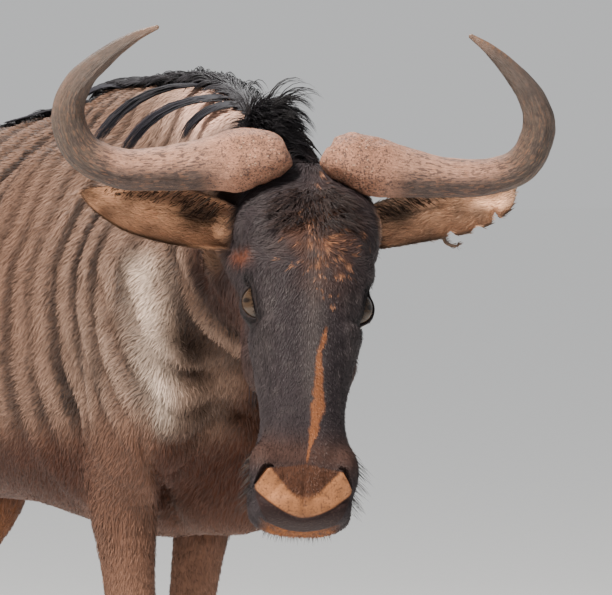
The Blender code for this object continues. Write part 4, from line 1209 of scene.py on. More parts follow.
# %% A wire in a shader tree
class Wire:
    """One output in a shader's tree, which can be added, multiplied and compared."""

    def __init__(self, tree, socket):
        self.tree = tree
        self.socket = socket

    def node(self, kind, settings, links, output=0):
        """Any node: its type, its settings, then the value or wire for each of its inputs."""
        made = self.tree.nodes.new(kind)
        for name, value in settings.items():
            setattr(made, name, value)
        for name, value in links.items():
            if isinstance(value, Wire):
                self.tree.links.new(value.socket, made.inputs[name])
            else:
                made.inputs[name].default_value = value
        return Wire(self.tree, made.outputs[output])

    def maths(self, operation, first, second=0.0, clamp=False):
        settings = {"operation": operation, "use_clamp": clamp}
        return self.node("ShaderNodeMath", settings, {0: first, 1: second})

    def __add__(self, other):
        return self.maths("ADD", self, other)

    def __sub__(self, other):
        return self.maths("SUBTRACT", self, other)

    def __rsub__(self, other):
        return self.maths("SUBTRACT", other, self)

    def __mul__(self, other):
        return self.maths("MULTIPLY", self, other)

    def __truediv__(self, other):
        return self.maths("DIVIDE", self, other)

    def __pow__(self, other):
        return self.maths("POWER", self, other)

    __radd__ = __add__
    __rmul__ = __mul__

    def step(self, low, high):
        """0 below low, 1 above high, straight between them."""
        return self.maths("MULTIPLY", self - low, 1 / (high - low), clamp=True)

    def noise(self, scale, detail=3.0, roughness=0.55):
        """Noise over this wire as a place, from 0 to 1."""
        links = {"Vector": self, "Scale": scale, "Detail": detail, "Roughness": roughness}
        return self.node("ShaderNodeTexNoise", {}, links)

    def cells(self, scale):
        """A random value from 0 to 1 for each cell round scattered points."""
        links = {"Vector": self, "Scale": scale}
        cell = self.node("ShaderNodeTexVoronoi", {}, links, "Color")
        return cell.node("ShaderNodeSeparateXYZ", {}, {0: cell}, 0)

    def stretched(self, x, y, z):
        """This wire as a place, with each axis scaled."""
        return self.node("ShaderNodeVectorMath", {"operation": "MULTIPLY"}, {0: self, 1: (x, y, z)})

    def into(self, other, share):
        """This colour going over into another by a share."""
        settings = {"data_type": "RGBA"}
        return self.node("ShaderNodeMix", settings, {"Factor": share, 6: self, 7: other}, 2)

    def shade(self, share):
        """This colour, darker or lighter by a factor."""
        return self.node("ShaderNodeVectorMath", {"operation": "SCALE"}, {0: self, "Scale": share})

    def attribute(self, name, output="Color"):
        return self.node("ShaderNodeAttribute", {"attribute_name": name}, {}, output)


def new_material(name, **constants):
    """A material with its shader's constants set, and the wire of its object coordinates."""
    made = bpy.data.materials.new(name)
    made.use_nodes = True
    tree = made.node_tree
    shader = tree.nodes["Principled BSDF"]
    for socket, value in constants.items():
        shader.inputs[socket.replace("_", " ")].default_value = value
    place = Wire(tree, tree.nodes.new("ShaderNodeTexCoord").outputs["Object"])
    return made, place, shader


def finish_material(shader, colour, roughness, height, distance, strength=1.0):
    """Wires for colour and roughness into the shader, and a height as a bump."""
    tree = colour.tree
    links = {"Height": height, "Distance": distance, "Strength": strength}
    bump = colour.node("ShaderNodeBump", {}, links)
    for wire, name in ((colour, "Base Color"), (roughness, "Roughness"), (bump, "Normal")):
        tree.links.new(wire.socket, shader.inputs[name])


def hide_material():
    """Skin: fine creases under the coat, and a pebbled, moist surface where it is bare, with painted shade in the
    grooves between the pebbles.
    """
    made, place, shader = new_material("wildebeest_hide", IOR=1.4, Specular_IOR_Level=0.13)
    bare = place.attribute("bare", "Fac")
    fine, coarse = place.noise(900.0), place.noise(45.0)
    pebbles = place.node("ShaderNodeTexVoronoi", {"feature": "SMOOTH_F1"}, {"Vector": place, "Scale": 420.0})
    colour = place.attribute("tone").shade(0.72 + 0.35 * coarse + 0.15 * fine)
    # Painted shade in the grooves between the pebbles of the bare skin.
    colour = colour.into((0.02, 0.012, 0.01, 1.0), bare * pebbles.step(0.45, 0.75) * 0.6)
    roughness = 0.82 - 0.16 * bare + 0.12 * fine
    height = fine * (1.0 - bare) - pebbles * bare
    finish_material(shader, colour, roughness, height, 0.0007, 0.8)
    return made


def coat_material(name, roughness, shine):
    """Hair: the tuft's own colour, mottled a little, with fine lines for single hairs."""
    made, place, shader = new_material(name, IOR=1.5, Specular_IOR_Level=shine)
    lines = place.stretched(1.0, 0.35, 0.35).noise(1400.0, 2.0)
    blotch = place.noise(38.0)
    colour = place.attribute("tone").shade(0.62 + 0.45 * blotch + 0.28 * lines)
    finish_material(shader, colour, roughness + 0.15 * lines, lines, 0.0003, 0.5)
    return made


def horn_material():
    """Horn: pitted where it is a boss, drawn out in lengthwise grain along the shaft."""
    made, place, shader = new_material("wildebeest_horn", IOR=1.5, Specular_IOR_Level=0.27)
    grain = place.attribute("grain", "Vector")
    boss = place.attribute("boss", "Fac")
    lines = grain.stretched(1.0, 16.0, 16.0).noise(42.0, 6.0, 0.7)
    pits = grain.stretched(1.0, 3.0, 3.0).noise(300.0, 5.0, 0.75)
    rough = 1.0 - grain.node("ShaderNodeSeparateXYZ", {}, {0: grain}, 0).step(0.30, 0.48)
    speck = place.cells(520.0) * boss + grain.stretched(0.30, 1.0, 1.0).cells(520.0) * (1.0 - boss)
    mottle = place.noise(64.0, 6.0, 0.65)
    share = 0.85 * lines.step(0.38, 0.62) * (1.0 - 0.6 * boss) + 0.85 * pits.step(0.38, 0.62)
    colour = place.attribute("tone").shade(0.16 + 0.65 * mottle.step(0.32, 0.68) + share)
    colour = colour.into((0.020, 0.012, 0.011, 1.0), rough * (1.0 - speck.step(0.20, 0.30)) * 0.7)
    colour = colour.into((0.19, 0.080, 0.038, 1.0), rough * speck.step(0.82, 0.88) * 0.28)
    colour = colour.into((0.30, 0.20, 0.14, 1.0), boss * speck.step(0.955, 0.975) * 0.6)
    roughness = 0.33 + 0.26 * rough + 0.16 * lines
    height = lines * (1.0 - 0.5 * boss) + (0.4 + rough) * pits
    finish_material(shader, colour, roughness, height, 0.0018, 1.0)
    return made


def eye_material():
    """Eye: a wide level pupil in a dark brown iris with fine rays, and a brown white round it."""
    made, place, shader = new_material("wildebeest_eye", Specular_IOR_Level=0.12, Coat_Weight=0.10)
    local = place.attribute("gaze", "Vector")
    x = local.node("ShaderNodeSeparateXYZ", {}, {0: local}, 0)
    y = local.node("ShaderNodeSeparateXYZ", {}, {0: local}, 1)
    reach = (x * x + y * y) ** 0.5
    pupil = ((x / 1.0) ** 2.0 + (y / 0.45) ** 2.0) ** 0.5
    rays = local.noise(700.0, 4.0)
    colour = (0.0 * reach).node("ShaderNodeRGB", {}, {})
    colour.socket.default_value = (0.023, 0.0145, 0.0090, 1.0)
    colour = colour.shade(0.6 + 0.9 * rays)
    colour = colour.into((0.006, 0.004, 0.003, 1.0), 1.0 - pupil.step(0.0050, 0.0095))
    colour = colour.into((0.012, 0.008, 0.0055, 1.0), reach.step(0.0175, 0.0200))
    finish_material(shader, colour, 0.12 + 0.05 * rays, rays, 0.0001, 0.15)
    return made


def hoof_material():
    """Hoof: black-brown horn with growth rings round it and worn, dusty edges."""
    made, place, shader = new_material("wildebeest_hoof", IOR=1.5)
    rings = place.stretched(0.12, 0.12, 1.0).noise(330.0, 3.0)
    streaks = place.stretched(1.0, 1.0, 0.08).noise(420.0, 3.0)
    dust = place.noise(60.0)
    colour = place.attribute("tone").shade(0.55 + 0.5 * rings + 0.4 * streaks)
    colour = colour.into((0.090, 0.058, 0.038, 1.0), dust.step(0.48, 0.72) * 0.30)
    finish_material(shader, colour, 0.48 + 0.25 * dust, rings + 0.4 * streaks, 0.0009, 0.7)
    return made


hide = hide_material()
coat = coat_material("wildebeest_coat", 0.58, 0.15)
long_coat = coat_material("wildebeest_long_hair", 0.44, 0.14)
horn, eye, hoof = horn_material(), eye_material(), hoof_material()
print("materials:", [m.name for m in (hide, coat, long_coat, horn, eye, hoof)])

# %% Colour the skin
def paint(made, name, kind, values):
    """A point attribute of a mesh filled from an array; colours get a fourth channel of 1."""
    layer = made.data.attributes.new(name, kind, "POINT")
    if kind == "FLOAT_COLOR":
        values = np.hstack([values, np.ones((len(values), 1))])
        layer.data.foreach_set("color", values.ravel())
    elif kind == "FLOAT_VECTOR":
        layer.data.foreach_set("vector", values.ravel())
    else:
        layer.data.foreach_set("value", values.ravel())


def places_of(mesh):
    """All points of a mesh, from the floor point under the withers."""
    flat = np.empty(len(mesh.vertices) * 3)
    mesh.vertices.foreach_get("co", flat)
    return flat.reshape(-1, 3) - WITHERS


skin_places = places_of(skin.data)
paint(skin, "tone", "FLOAT_COLOR", np.clip(tone_at(skin_places), 0.004, 0.9))
paint(skin, "bare", "FLOAT", bare_at(skin_places))
skin.data.materials.clear()
skin.data.materials.append(hide)
print("painted", len(skin_places), "points")

# %% [markdown]
# ## Eyes
# Each eye is a ball with a slightly swollen clear front. The lids already leave their gap, so
# the ball only has to sit at its place and look along its gaze.

# %% Two balls
def from_grid(name, grid, material, closed=True, poles=()):
    """A mesh from a grid of places: rows along the form, columns round it, first and last row
    closed to a pole each. Places are from the floor point under the withers."""
    rows, columns = grid.shape[:2]
    points = np.vstack([grid.reshape(-1, 3), *poles])
    faces = ring_quads(rows, columns, False).tolist()
    size, last = rows * columns, (rows - 1) * columns
    turn = range(columns)
    faces += [[(j + 1) % columns, j, size] for j in turn]
    faces += [[last + j, last + (j + 1) % columns, size + 1] for j in turn]
    made = make_solid(name, points, faces)
    made.data.materials.append(material)
    return made


def make_eye(name, side):
    """A ball given by turn and tilt from the gaze axis; its front swells by 0.7 mm."""
    centre, axes = eye_frame(side)
    tilt = np.linspace(0, pi, 42)[1:-1, None]
    turn = 2 * pi * np.arange(64)[None, :] / 64
    radius = EYE_RADIUS + 0.0007 * ramp(tilt, 0.75, 0.35) + 0 * turn
    across = np.stack([np.sin(tilt) * np.cos(turn), np.sin(tilt) * np.sin(turn), np.cos(tilt) + 0 * turn], -1)
    local = across * radius[..., None]
    poles = (np.array([[0, 0, EYE_RADIUS + 0.0007]]), np.array([[0, 0, -EYE_RADIUS]]))
    made = from_grid(name, centre + local @ axes, eye, poles=[centre + pole @ axes for pole in poles])
    level = unit(np.array([axes[0] @ np.array([0, 0, 1.0]), axes[1] @ np.array([0, 0, 1.0])]))
    inside = (places_of(made.data) - centre) @ axes.T
    upward = inside[:, :2] @ level
    sideways = inside[:, 0] * level[1] - inside[:, 1] * level[0]
    paint(made, "gaze", "FLOAT_VECTOR", np.stack([sideways, upward, inside[:, 2]], 1))
    return made


eyes = {"eye_right": make_eye("eye_right_ball", -1), "eye_left": make_eye("eye_left_ball", 1)}
print("eye ball:", len(eyes["eye_right"].data.polygons), "faces")

# %% [markdown]
# ## Horns
# A horn's rough boss covers the forehead, then the shaft runs out, sinks a little and hooks up
# to a smooth tip. Its path and radius are known, so the surface is a tube whose radius is
# changed by pits and knobs on the boss, rings and grain on the shaft, and nothing at the tip.

# %% Two swept tubes
def make_horn(name, rows, seed):
    """A tube round the centre line: columns turn round it, and relief changes its radius."""
    table = smooth_rows([(*upright(row[:3]), row[3]) for row in rows], 18)
    path, radius = table[1:-1, :3], table[1:-1, 3]
    tangent = unit(np.gradient(path, axis=0))
    sideways = unit(np.cross(tangent, UPRIGHT_AXES[2]))
    normal = np.cross(sideways, tangent)
    columns = 88
    turn = 2 * pi * np.arange(columns) / columns
    ray = np.cos(turn)[None, :, None] * sideways[:, None] + np.sin(turn)[None, :, None] * normal[:, None]
    base = path[:, None] + ray * radius[:, None, None]
    flat = base.reshape(-1, 3)
    length = np.concatenate([[0], np.cumsum(np.linalg.norm(np.diff(path, axis=0), axis=1))])
    along = np.repeat(length, columns)
    thick = np.repeat(radius, columns)
    boss = ramp(along, 0.135, 0.055)
    shaft = ramp(along, 0.05, 0.11) * ramp(along, 0.50, 0.38)
    unrolled = np.stack([along, np.tile(turn, len(path)) * 0.02, thick * 0], 1)
    ringed = unrolled.copy()
    ringed[:, 1] *= 0.3
    relief = boss * (0.0018 * noise(flat, 0.014, seed) - 0.0007 * ramp(noise(flat, 0.0048, seed + 1), 0.1, 0.8))
    relief += boss * 0.0004 * noise(flat, 0.0028, seed + 2)
    relief += shaft * (0.0006 * noise(ringed, 0.016, seed + 3) - 0.0003)
    underside = np.repeat(np.ones(len(path)), columns) * (ray.reshape(-1, 3)[:, 2] < 0.1)
    stretched = unrolled * [0.12, 1.0, 1.0]
    relief += shaft * 0.0007 * underside * noise(stretched, 0.0016, seed + 4)
    relief -= thick * 0.42 * ramp(along, 0.085, 0.0) * ramp(ray.reshape(-1, 3)[:, 2], 0.1, -0.9)
    grid = base + ray * np.minimum(relief, 0.0015).reshape(len(path), columns, 1)
    made = from_grid(name, grid, horn, poles=(table[:1, :3], table[-1:, :3]))
    places = places_of(made.data)
    near = np.argmin(((places[:, None, ::1] - path[None, ::4]) ** 2).sum(2), axis=1) * 4
    down = (places - path[near]) / radius[near, None]
    at = length[near] + ((places - path[near]) * tangent[near]).sum(1)
    share = at / length[-1]
    lower = ramp(down[:, 2], 0.35, -0.45)
    tone = np.tile(np.array([0.300, 0.158, 0.108]), (len(places), 1))
    # Painted shade: each horn's underside is darker out from the boss.
    tone = mix(tone, np.array([0.040, 0.026, 0.021]), 0.92 * lower * ramp(share, 0.12, 0.25))
    tone = mix(tone, np.array([0.058, 0.040, 0.029]), 0.85 * ramp(share, 0.44, 0.56))
    tone = mix(tone, np.array([0.075, 0.055, 0.046]), 0.80 * ramp(share, 0.66, 0.82))
    tone = mix(tone, np.array([0.190, 0.115, 0.082]), 0.75 * ramp(share, 0.90, 0.99))
    tone = mix(tone, np.array([0.310, 0.140, 0.085]), 0.85 * ramp(share, 0.26, 0.14))
    tone = mix(tone, np.array([0.30, 0.13, 0.05]), 0.5 * ramp(share, 0.8, 0.95) * bell(down[:, 0], 0.8, 0.5))
    tone = 0.55 * tone
    turned = np.arctan2((down * normal[near]).sum(1), (down * sideways[near]).sum(1))
    paint(made, "tone", "FLOAT_COLOR", tone)
    paint(made, "boss", "FLOAT", ramp(at, 0.135, 0.055))
    paint(made, "grain", "FLOAT_VECTOR", np.stack([at, np.cos(turned) * 0.03, np.sin(turned) * 0.03], 1))
    return made


horns = {"horn_right": make_horn("horn_right_shell", HORN_RIGHT, 20),
         "horn_left": make_horn("horn_left_shell", HORN_LEFT, 30)}
print("horn:", len(horns["horn_right"].data.polygons), "faces")

# %% [markdown]
# ## Hooves
# Each foot stands on two claws. A claw is a low cone that is flat on its inner side, pointed in
# front and leaning forward, with growth rings round it.

# %% Eight claws, and the dew claws behind them
CLAW_HALF = (0.0185, 0.048)
CLAW_APART = 0.0172
CLAW_BACK = 0.008


def claw_grid(side):
    """Rings from the floor up: an oval with a pointed toe, smaller and set back as it rises."""
    height = np.concatenate([[0.0, 0.0015], np.linspace(0.004, HOOF_TOP, 30)])[:, None]
    turn = 2 * pi * np.arange(64)[None, :] / 64
    share = 1.0 - 0.28 * (height / HOOF_TOP) ** 1.1 - 0.05 * (height < 0.001)
    back = 0.016 * (height / HOOF_TOP) ** 1.1
    ring = 1 + 0.012 * np.sin(height / 0.0011) * ramp(height, 0.004, 0.012)
    x = CLAW_HALF[0] * share * ring * np.sign(np.sin(turn)) * np.abs(np.sin(turn)) ** 0.8
    x = np.where(x * side < 0, np.sign(x) * np.minimum(np.abs(x), CLAW_HALF[0] * 0.86), x)
    y = -CLAW_HALF[1] * share * ring * np.cos(turn) + back
    return np.stack(np.broadcast_arrays(x, y, height), -1)


def make_hoof_piece(name, centre, side):
    grid = claw_grid(side) + np.array([centre[0], centre[1], 0.0])
    low = np.array([[centre[0], centre[1], 0.0]])
    high = np.array([[centre[0], centre[1] + 0.016, HOOF_TOP]])
    made = from_grid(name, grid, hoof, poles=(low, high))
    places = places_of(made.data)
    tone = np.tile(np.array([0.016, 0.011, 0.009]), (len(places), 1))
    tone = mix(tone, np.array([0.060, 0.036, 0.024]), 0.6 * ramp(places[:, 2], 0.045, 0.06))
    paint(made, "tone", "FLOAT_COLOR", tone)
    return made


hooves = {}
for leg, (side, stations, hang, root_shift, foot_shift) in LEGS.items():
    foot = leg_rows(side, stations, hang, root_shift, foot_shift)[-1]
    for word, hand in (("right", -1), ("left", 1)):
        node = leg.replace("leg_", "hoof_") + "_" + word
        centre = (foot[0] + hand * CLAW_APART, foot[1] - CLAW_BACK)
        hooves[node] = make_hoof_piece(node + "_claw", centre, hand)


def make_dew_claw(name, leg, hand):
    """A small blunt cone behind the pastern that points down and back."""
    rows = smooth_rows(leg_rows(*LEGS[leg]))
    x, y, z, wide, deep = rows[np.argmin(np.abs(rows[:, 2] - 0.105))]
    start = np.array([x + hand * 0.010, y + 0.70 * deep, z + 0.006])
    step = np.array([hand * 0.004, 0.016, -0.024])
    sizes = ((0.0, 0.0035), (0.35, 0.0085), (0.75, 0.0078), (1.0, 0.0030))
    table = [(*(start + share * step), size, size * 0.8) for share, size in sizes]
    made = swept(name, table, np.array([1.0, 0.0, 0.0]))
    made.data.materials.append(hoof)
    paint(made, "tone", "FLOAT_COLOR", np.tile([0.016, 0.011, 0.009], (len(made.data.vertices), 1)))
    return made


dew_claws = {}
for leg in LEGS:
    for word, hand in (("right", -1), ("left", 1)):
        node = leg.replace("leg_", "hoof_") + "_" + word
        dew_claws[node] = make_dew_claw(node + "_dew_claw", leg, hand)
print("hooves:", sorted(hooves))

# %% [markdown]
# ## The short coat
# A wildebeest's coat is short and flat. Each tuft is a thin bent blade of three triangles. It is
# rooted a millimetre under the skin, follows the lie of the coat and stands a little off it.
# Tufts are smallest on the face, the ears and the feet. There are pieces by region, so that none
# of them gets too heavy, and every tuft takes the colour of the skin at its root.

# %% Regions and the lie of the coat
# For each region: tufts per square metre, length, width, how far the tip stands off
REGIONS = {
    "head": (185000, 0.0070, 0.00095, 0.0015),
    "neck_right": (92000, 0.0135, 0.0014, 0.0024),
    "neck_left": (60000, 0.0145, 0.0018, 0.0026),
    "shoulder_right": (88000, 0.0130, 0.0014, 0.0022),
    "shoulder_left": (56000, 0.0145, 0.0019, 0.0024),
    "barrel_right": (66000, 0.0140, 0.0017, 0.0024),
    "barrel_left": (54000, 0.0145, 0.0019, 0.0024),
    "rump_right": (56000, 0.0145, 0.0019, 0.0024),
    "rump_left": (54000, 0.0145, 0.0019, 0.0024),
    "foreleg_right": (110000, 0.0090, 0.0012, 0.0015),
    "foreleg_left": (110000, 0.0090, 0.0012, 0.0015),
    "hindleg_right": (90000, 0.0095, 0.0014, 0.0016),
    "hindleg_left": (90000, 0.0095, 0.0014, 0.0016),
    "tail": (90000, 0.0180, 0.0018, 0.0030),
    "ear_right": (120000, 0.0090, 0.0011, 0.0018),
    "ear_left": (120000, 0.0090, 0.0011, 0.0018),
}


def region_of(points):
    """The name of the region that each place of the skin belongs to."""
    across, along, _ = in_neck(points).T
    x, y, z = points.T
    hand = np.where(x > 0, "left", "right")
    named = np.char.add(np.where(y < 0.10, "shoulder_", np.where(y < 0.62, "barrel_", "rump_")), hand)
    named = np.where(along > 0.12, np.where(across > 0, "neck_right", "neck_left"), named)
    leg = np.char.add(np.where(y < 0.42, "foreleg_", "hindleg_"), hand)
    named = np.where(z < 0.74, leg, named)
    named = np.where(on_head(points) > 0.5, "head", named)
    for name, ear in (("ear_right", EAR_RIGHT), ("ear_left", EAR_LEFT)):
        here = ear_shares(points, ear)[1]
        named = np.where(here > 0.5, name, named)
    return np.where((y > 1.115) & (np.abs(x) < 0.06) & (z < 1.19), "tail", named)


def lie_of(points):
    """The way the hair points: back and down on the trunk, down the legs, towards the shoulder on
    the neck, down the nose, sideways in waves over the forehead, back over the cheeks."""
    across, along, _ = in_neck(points).T
    height = points[:, 2]
    count = len(points)
    way = mix(np.tile([0.0, 0.88, -0.40], (count, 1)), np.array([0.0, 0.55, -0.80]), ramp(height, 1.0, 0.85))
    neck = -0.72 * NECK_AXES[1] + np.array([0.0, 0.0, -0.68])
    way = mix(way, neck, ramp(along, 0.0, 0.16))
    way = mix(way, np.array([0.0, 0.10, -1.0]), ramp(height, 0.84, 0.72))
    way = mix(way, np.array([0.0, 0.0, -1.0]), ramp(points[:, 1], 1.11, 1.14))
    side, up, out = in_face(points).T
    hand = np.tanh(side / 0.010)
    nose = np.stack([0.45 * hand, -np.ones(count), np.zeros(count)], 1)
    wave = 0.55 * np.sin(up / 0.010 + 45 * side) - 0.15 - 0.9 * bell(side, 0.0, 0.018)
    brow = np.stack([hand * ramp(np.abs(side), 0.0, 0.02), wave, np.zeros(count)], 1)
    cheek = np.tile([0.0, -0.50, -0.86], (count, 1))
    face = mix(nose, brow, ramp(up, 0.0, 0.05))
    face = mix(face, cheek, ramp(out, 0.045, -0.010) * ramp(up, 0.12, 0.06))
    way = mix(way, face @ FACE_AXES, on_head(points))
    for ear in (EAR_RIGHT, EAR_LEFT):
        way = mix(way, ear_frame(ear)[2] + 0 * way, ear_shares(points, ear)[1])
    wander = np.stack([noise(points, 0.035, 40 + k) for k in range(3)], 1)
    return unit(way) + 0.34 * wander


def unrolled(region, points):
    """The skin's own flat map of a region: the turn round its axis, and the way along it."""
    kind = region.split("_")[0]
    if kind == "neck":
        across, along, rise = in_neck(points).T
        return np.stack([np.arctan2(np.abs(across), rise), along], 1)
    if kind == "head":
        across, up, out = in_face(points).T
        return np.stack([np.arctan2(across, out + 0.03), up], 1)
    if kind == "ear":
        root, tip, along, up, out = ear_frame(EAR_RIGHT if region == "ear_right" else EAR_LEFT)
        step = points - root
        return np.stack([np.arctan2(step @ up, step @ out + 0.012), step @ along], 1)
    if kind in ("foreleg", "hindleg"):
        rows = smooth_rows(leg_rows(*LEGS[region]))
        order = np.argsort(rows[:, 2])
        middle = [np.interp(points[:, 2], rows[order, 2], rows[order, k]) for k in (0, 1)]
        return np.stack([np.arctan2(points[:, 0] - middle[0], points[:, 1] - middle[1]), points[:, 2]], 1)
    if kind == "tail":
        return np.stack([np.arctan2(points[:, 0], points[:, 1] - 1.165), points[:, 2]], 1)
    return np.stack([np.arctan2(np.abs(points[:, 0]), points[:, 2] - 1.03), points[:, 1]], 1)


skin.data.calc_loop_triangles()
flat = np.empty(len(skin.data.loop_triangles) * 3, int)
skin.data.loop_triangles.foreach_get("vertices", flat)
triangles = flat.reshape(-1, 3)
flat = np.empty(len(skin_places) * 3)
skin.data.vertices.foreach_get("normal", flat)
skin_normals = flat.reshape(-1, 3)
corners = skin_places[triangles]
areas = np.linalg.norm(np.cross(corners[:, 1] - corners[:, 0], corners[:, 2] - corners[:, 0]), axis=1) / 2
regions = region_of(corners.mean(1))
print("skin area by region:", {name: round(float(areas[regions == name].sum()), 3) for name in REGIONS})

# %% Growing tufts
def sprinkled(chosen, density, source):
    """Places spread evenly by area over the chosen triangles, with the skin's normal at each."""
    edge = np.cumsum(areas[chosen] * density)
    count = int(edge[-1])
    at = np.searchsorted(edge, (np.arange(count) + source.random(count)) * edge[-1] / count)
    face = triangles[chosen[np.minimum(at, len(chosen) - 1)]]
    a, b = source.random((2, count))
    over = a + b > 1
    a, b = np.where(over, 1 - a, a), np.where(over, 1 - b, b)
    weight = np.stack([1 - a - b, a, b], 1)[..., None]
    return (skin_places[face] * weight).sum(1), unit((skin_normals[face] * weight).sum(1))


def spread(raw, low=0.03, high=0.97):
    """Map coordinates stretched to fill their square."""
    least, most = raw.min(0), raw.max(0)
    return low + (raw - least) / (most - least) * (high - low)


def hair_mesh(name, points, faces, tones, patches, material):
    """A mesh of many separate tufts: all their points at once, with a colour for every point
    and a place on the flat map for every corner."""
    mesh = bpy.data.meshes.new(name)
    mesh.from_pydata(points + WITHERS, [], faces)
    made = bpy.data.objects.new(name, mesh)
    bpy.context.scene.collection.objects.link(made)
    paint(made, "tone", "FLOAT_COLOR", np.clip(tones, 0.003, 0.9))
    layer = mesh.uv_layers.new(name="OFBake")
    layer.data.foreach_set("uv", patches[faces.ravel()].ravel())
    mesh.materials.append(material)
    mesh.shade_smooth()
    return made


def grow_coat(region, seed):
    """All the blades of one region. A blade is two root points, two half way and a tip; it rises
    as it leaves the skin and bends back towards it at the tip."""
    density, length, width, lift = REGIONS[region]
    density = density * 1.0
    source = np.random.default_rng(seed)
    roots, normals = sprinkled(np.flatnonzero(regions == region), density, source)
    keep = (bare_at(roots) < 0.35) if region == "head" else np.ones(len(roots), bool)
    roots, normals = roots[keep], normals[keep]
    count = len(roots)
    way = lie_of(roots) + 0.16 * source.standard_normal((count, 3))
    way = unit(way - normals * (way * normals).sum(1)[:, None])
    tuft = 0.75 + 0.5 * source.random(count)
    size = length * tuft
    if region == "head":
        across, up, out = in_face(roots).T
        size = size * (1 + 0.9 * ramp(up, 0.0, 0.06) - 0.45 * ramp(up, -0.06, -0.16))
        size = size * (1 + 0.6 * ramp(out, 0.0, -0.09))
    size = size[:, None]
    side = np.cross(way, normals)
    rolled = 0.35 * source.standard_normal(count)[:, None]
    side = unit(side + rolled * normals) * (width / 2 * (0.8 + 0.4 * source.random(count)))[:, None]
    off = (lift * (0.55 + 0.9 * source.random(count) ** 2))[:, None]
    base = roots - 0.0008 * normals - 0.15 * size * way
    middle = roots + 0.35 * size * way + 0.72 * off * normals
    tip = roots + 0.85 * size * way + off * normals
    points = np.stack([base - side, base + side, middle - 0.85 * side, middle + 0.85 * side, tip], 1)
    first = 5 * np.arange(count)[:, None, None]
    faces = (first + np.array([[0, 1, 3], [0, 3, 2], [2, 3, 4]])).reshape(-1, 3)
    tone = tone_at(roots)[:, None] * (0.70 + 0.60 * source.random(count))[:, None, None]
    tone = tone * np.array([0.62, 0.62, 1.0, 1.0, 1.22])[None, :, None]
    place = spread(unrolled(region, roots))[:, None]
    patch = place + 0.0015 * np.array([[-1, -1], [1, -1], [-1, 0], [1, 0], [0, 1]])
    return hair_mesh("coat_" + region, points.reshape(-1, 3), faces, tone.reshape(-1, 3),
                     patch.reshape(-1, 2), coat)


coats = {name: grow_coat(name, 100 + k) for k, name in enumerate(REGIONS)}
print("tufts:", {name: len(made.data.polygons) // 3 for name, made in coats.items()})

# %% [markdown]
# ## Long hair
# The mane, the throat's beard, the tail's brush, whiskers and lashes are long enough to hang.
# A strand starts at a root with an aim. Each step bends the aim towards the ground and moves on,
# and a strand that would sink into the body is pushed back out. Then the strands of one lock
# are drawn together towards their tips.

# %% Strands and locks
STEPS = 7


def strand_paths(roots, aims, length, fall, stay, lock, gather):
    """Paths as (strand, step, 3). Fall is how fast the aim turns down, stay is how far off the
    skin a strand keeps, and gather is how far it joins the first strand of its lock."""
    heading = unit(aims)
    place = roots.copy()
    paths = [place]
    for step in range(STEPS):
        share = (step + 1) / STEPS
        heading = unit(heading + (fall * (0.35 + share))[:, None] * np.array([0.0, 0.0, -1.0]))
        place = place + heading * (length / STEPS)[:, None]
        if stay is not None:
            here, slope = slope_of(body_field, place)
            place = place + unit(slope) * np.maximum(stay * (1 + share) - here, 0)[:, None]
        paths.append(place)
    paths = np.stack(paths, 1)
    share = (np.arange(STEPS + 1) / STEPS)[None, :, None]
    guide = paths[first_of(lock)]
    return paths + gather * share**0.8 * (guide - paths)


def first_of(lock):
    """For each strand, the number of the first strand of its lock."""
    _, first, inverse = np.unique(lock, return_index=True, return_inverse=True)
    return first[inverse]


def strand_mesh(name, paths, width, tones, raw, material, ends=1.25):
    """Three-sided tubes that taper to a point along each path, closed at the root."""
    count, rows = paths.shape[:2]
    tangent = unit(np.gradient(paths, axis=1))
    sideways = unit(np.cross(tangent, np.array([0.3, 0.2, 0.93])))
    other = np.cross(tangent, sideways)
    share = np.linspace(0, 1, rows)[None, :, None]
    radius = width[:, None, None] / 2 * (1 - share**1.8)
    rings = []
    for turn in (0.0, 2 * pi / 3, 4 * pi / 3):
        rings.append(paths + radius * (cos(turn) * sideways + sin(turn) * other))
    points = np.stack(rings, 2)[:, :-1].reshape(count, -1, 3)
    points = np.concatenate([points, paths[:, -1:]], 1)
    each = points.shape[1]
    faces = []
    for row in range(rows - 2):
        for j in range(3):
            a, b = 3 * row + j, 3 * row + (j + 1) % 3
            faces += [[a, b, b + 3], [a, b + 3, a + 3]]
    last = 3 * (rows - 2)
    faces += [[last + j, last + (j + 1) % 3, each - 1] for j in range(3)]
    faces += [[2, 1, 0]]
    faces = (each * np.arange(count)[:, None, None] + np.array(faces)).reshape(-1, 3)
    level = np.append(np.repeat(np.linspace(0, 1, rows)[:-1], 3), 1.0)
    tone = tones[:, None] * (0.75 + (ends - 0.75) * level)[None, :, None]
    spot = 0.0015 * np.stack([np.cos(np.arange(each) * 2.1), 2 * level - 1], 1)
    patch = spread(raw)[:, None] + spot[None]
    return hair_mesh(name, points.reshape(-1, 3), faces, tone.reshape(-1, 3), patch.reshape(-1, 2), material)


def on_skin(points):
    for _ in range(4):
        points = on_surface(skin_field, points, 0.05)
    return points


def along_path(rows, share):
    """A place on a smooth path of rows at each share of its length by number of stations."""
    table = smooth_rows(rows)
    at = share * (len(table) - 1)
    return np.stack([np.interp(at, np.arange(len(table)), column) for column in table.T], 1)


LIGHT = 1.0


def crest_roots(share, apart):
    """Places on the skin along the crest; apart runs from the right side to the left."""
    row = along_path(MANE, share)
    return on_skin(row[:, :3] + np.stack([apart * 0.020, 0 * apart, 0.055 - 0.014 * apart**2], 1))


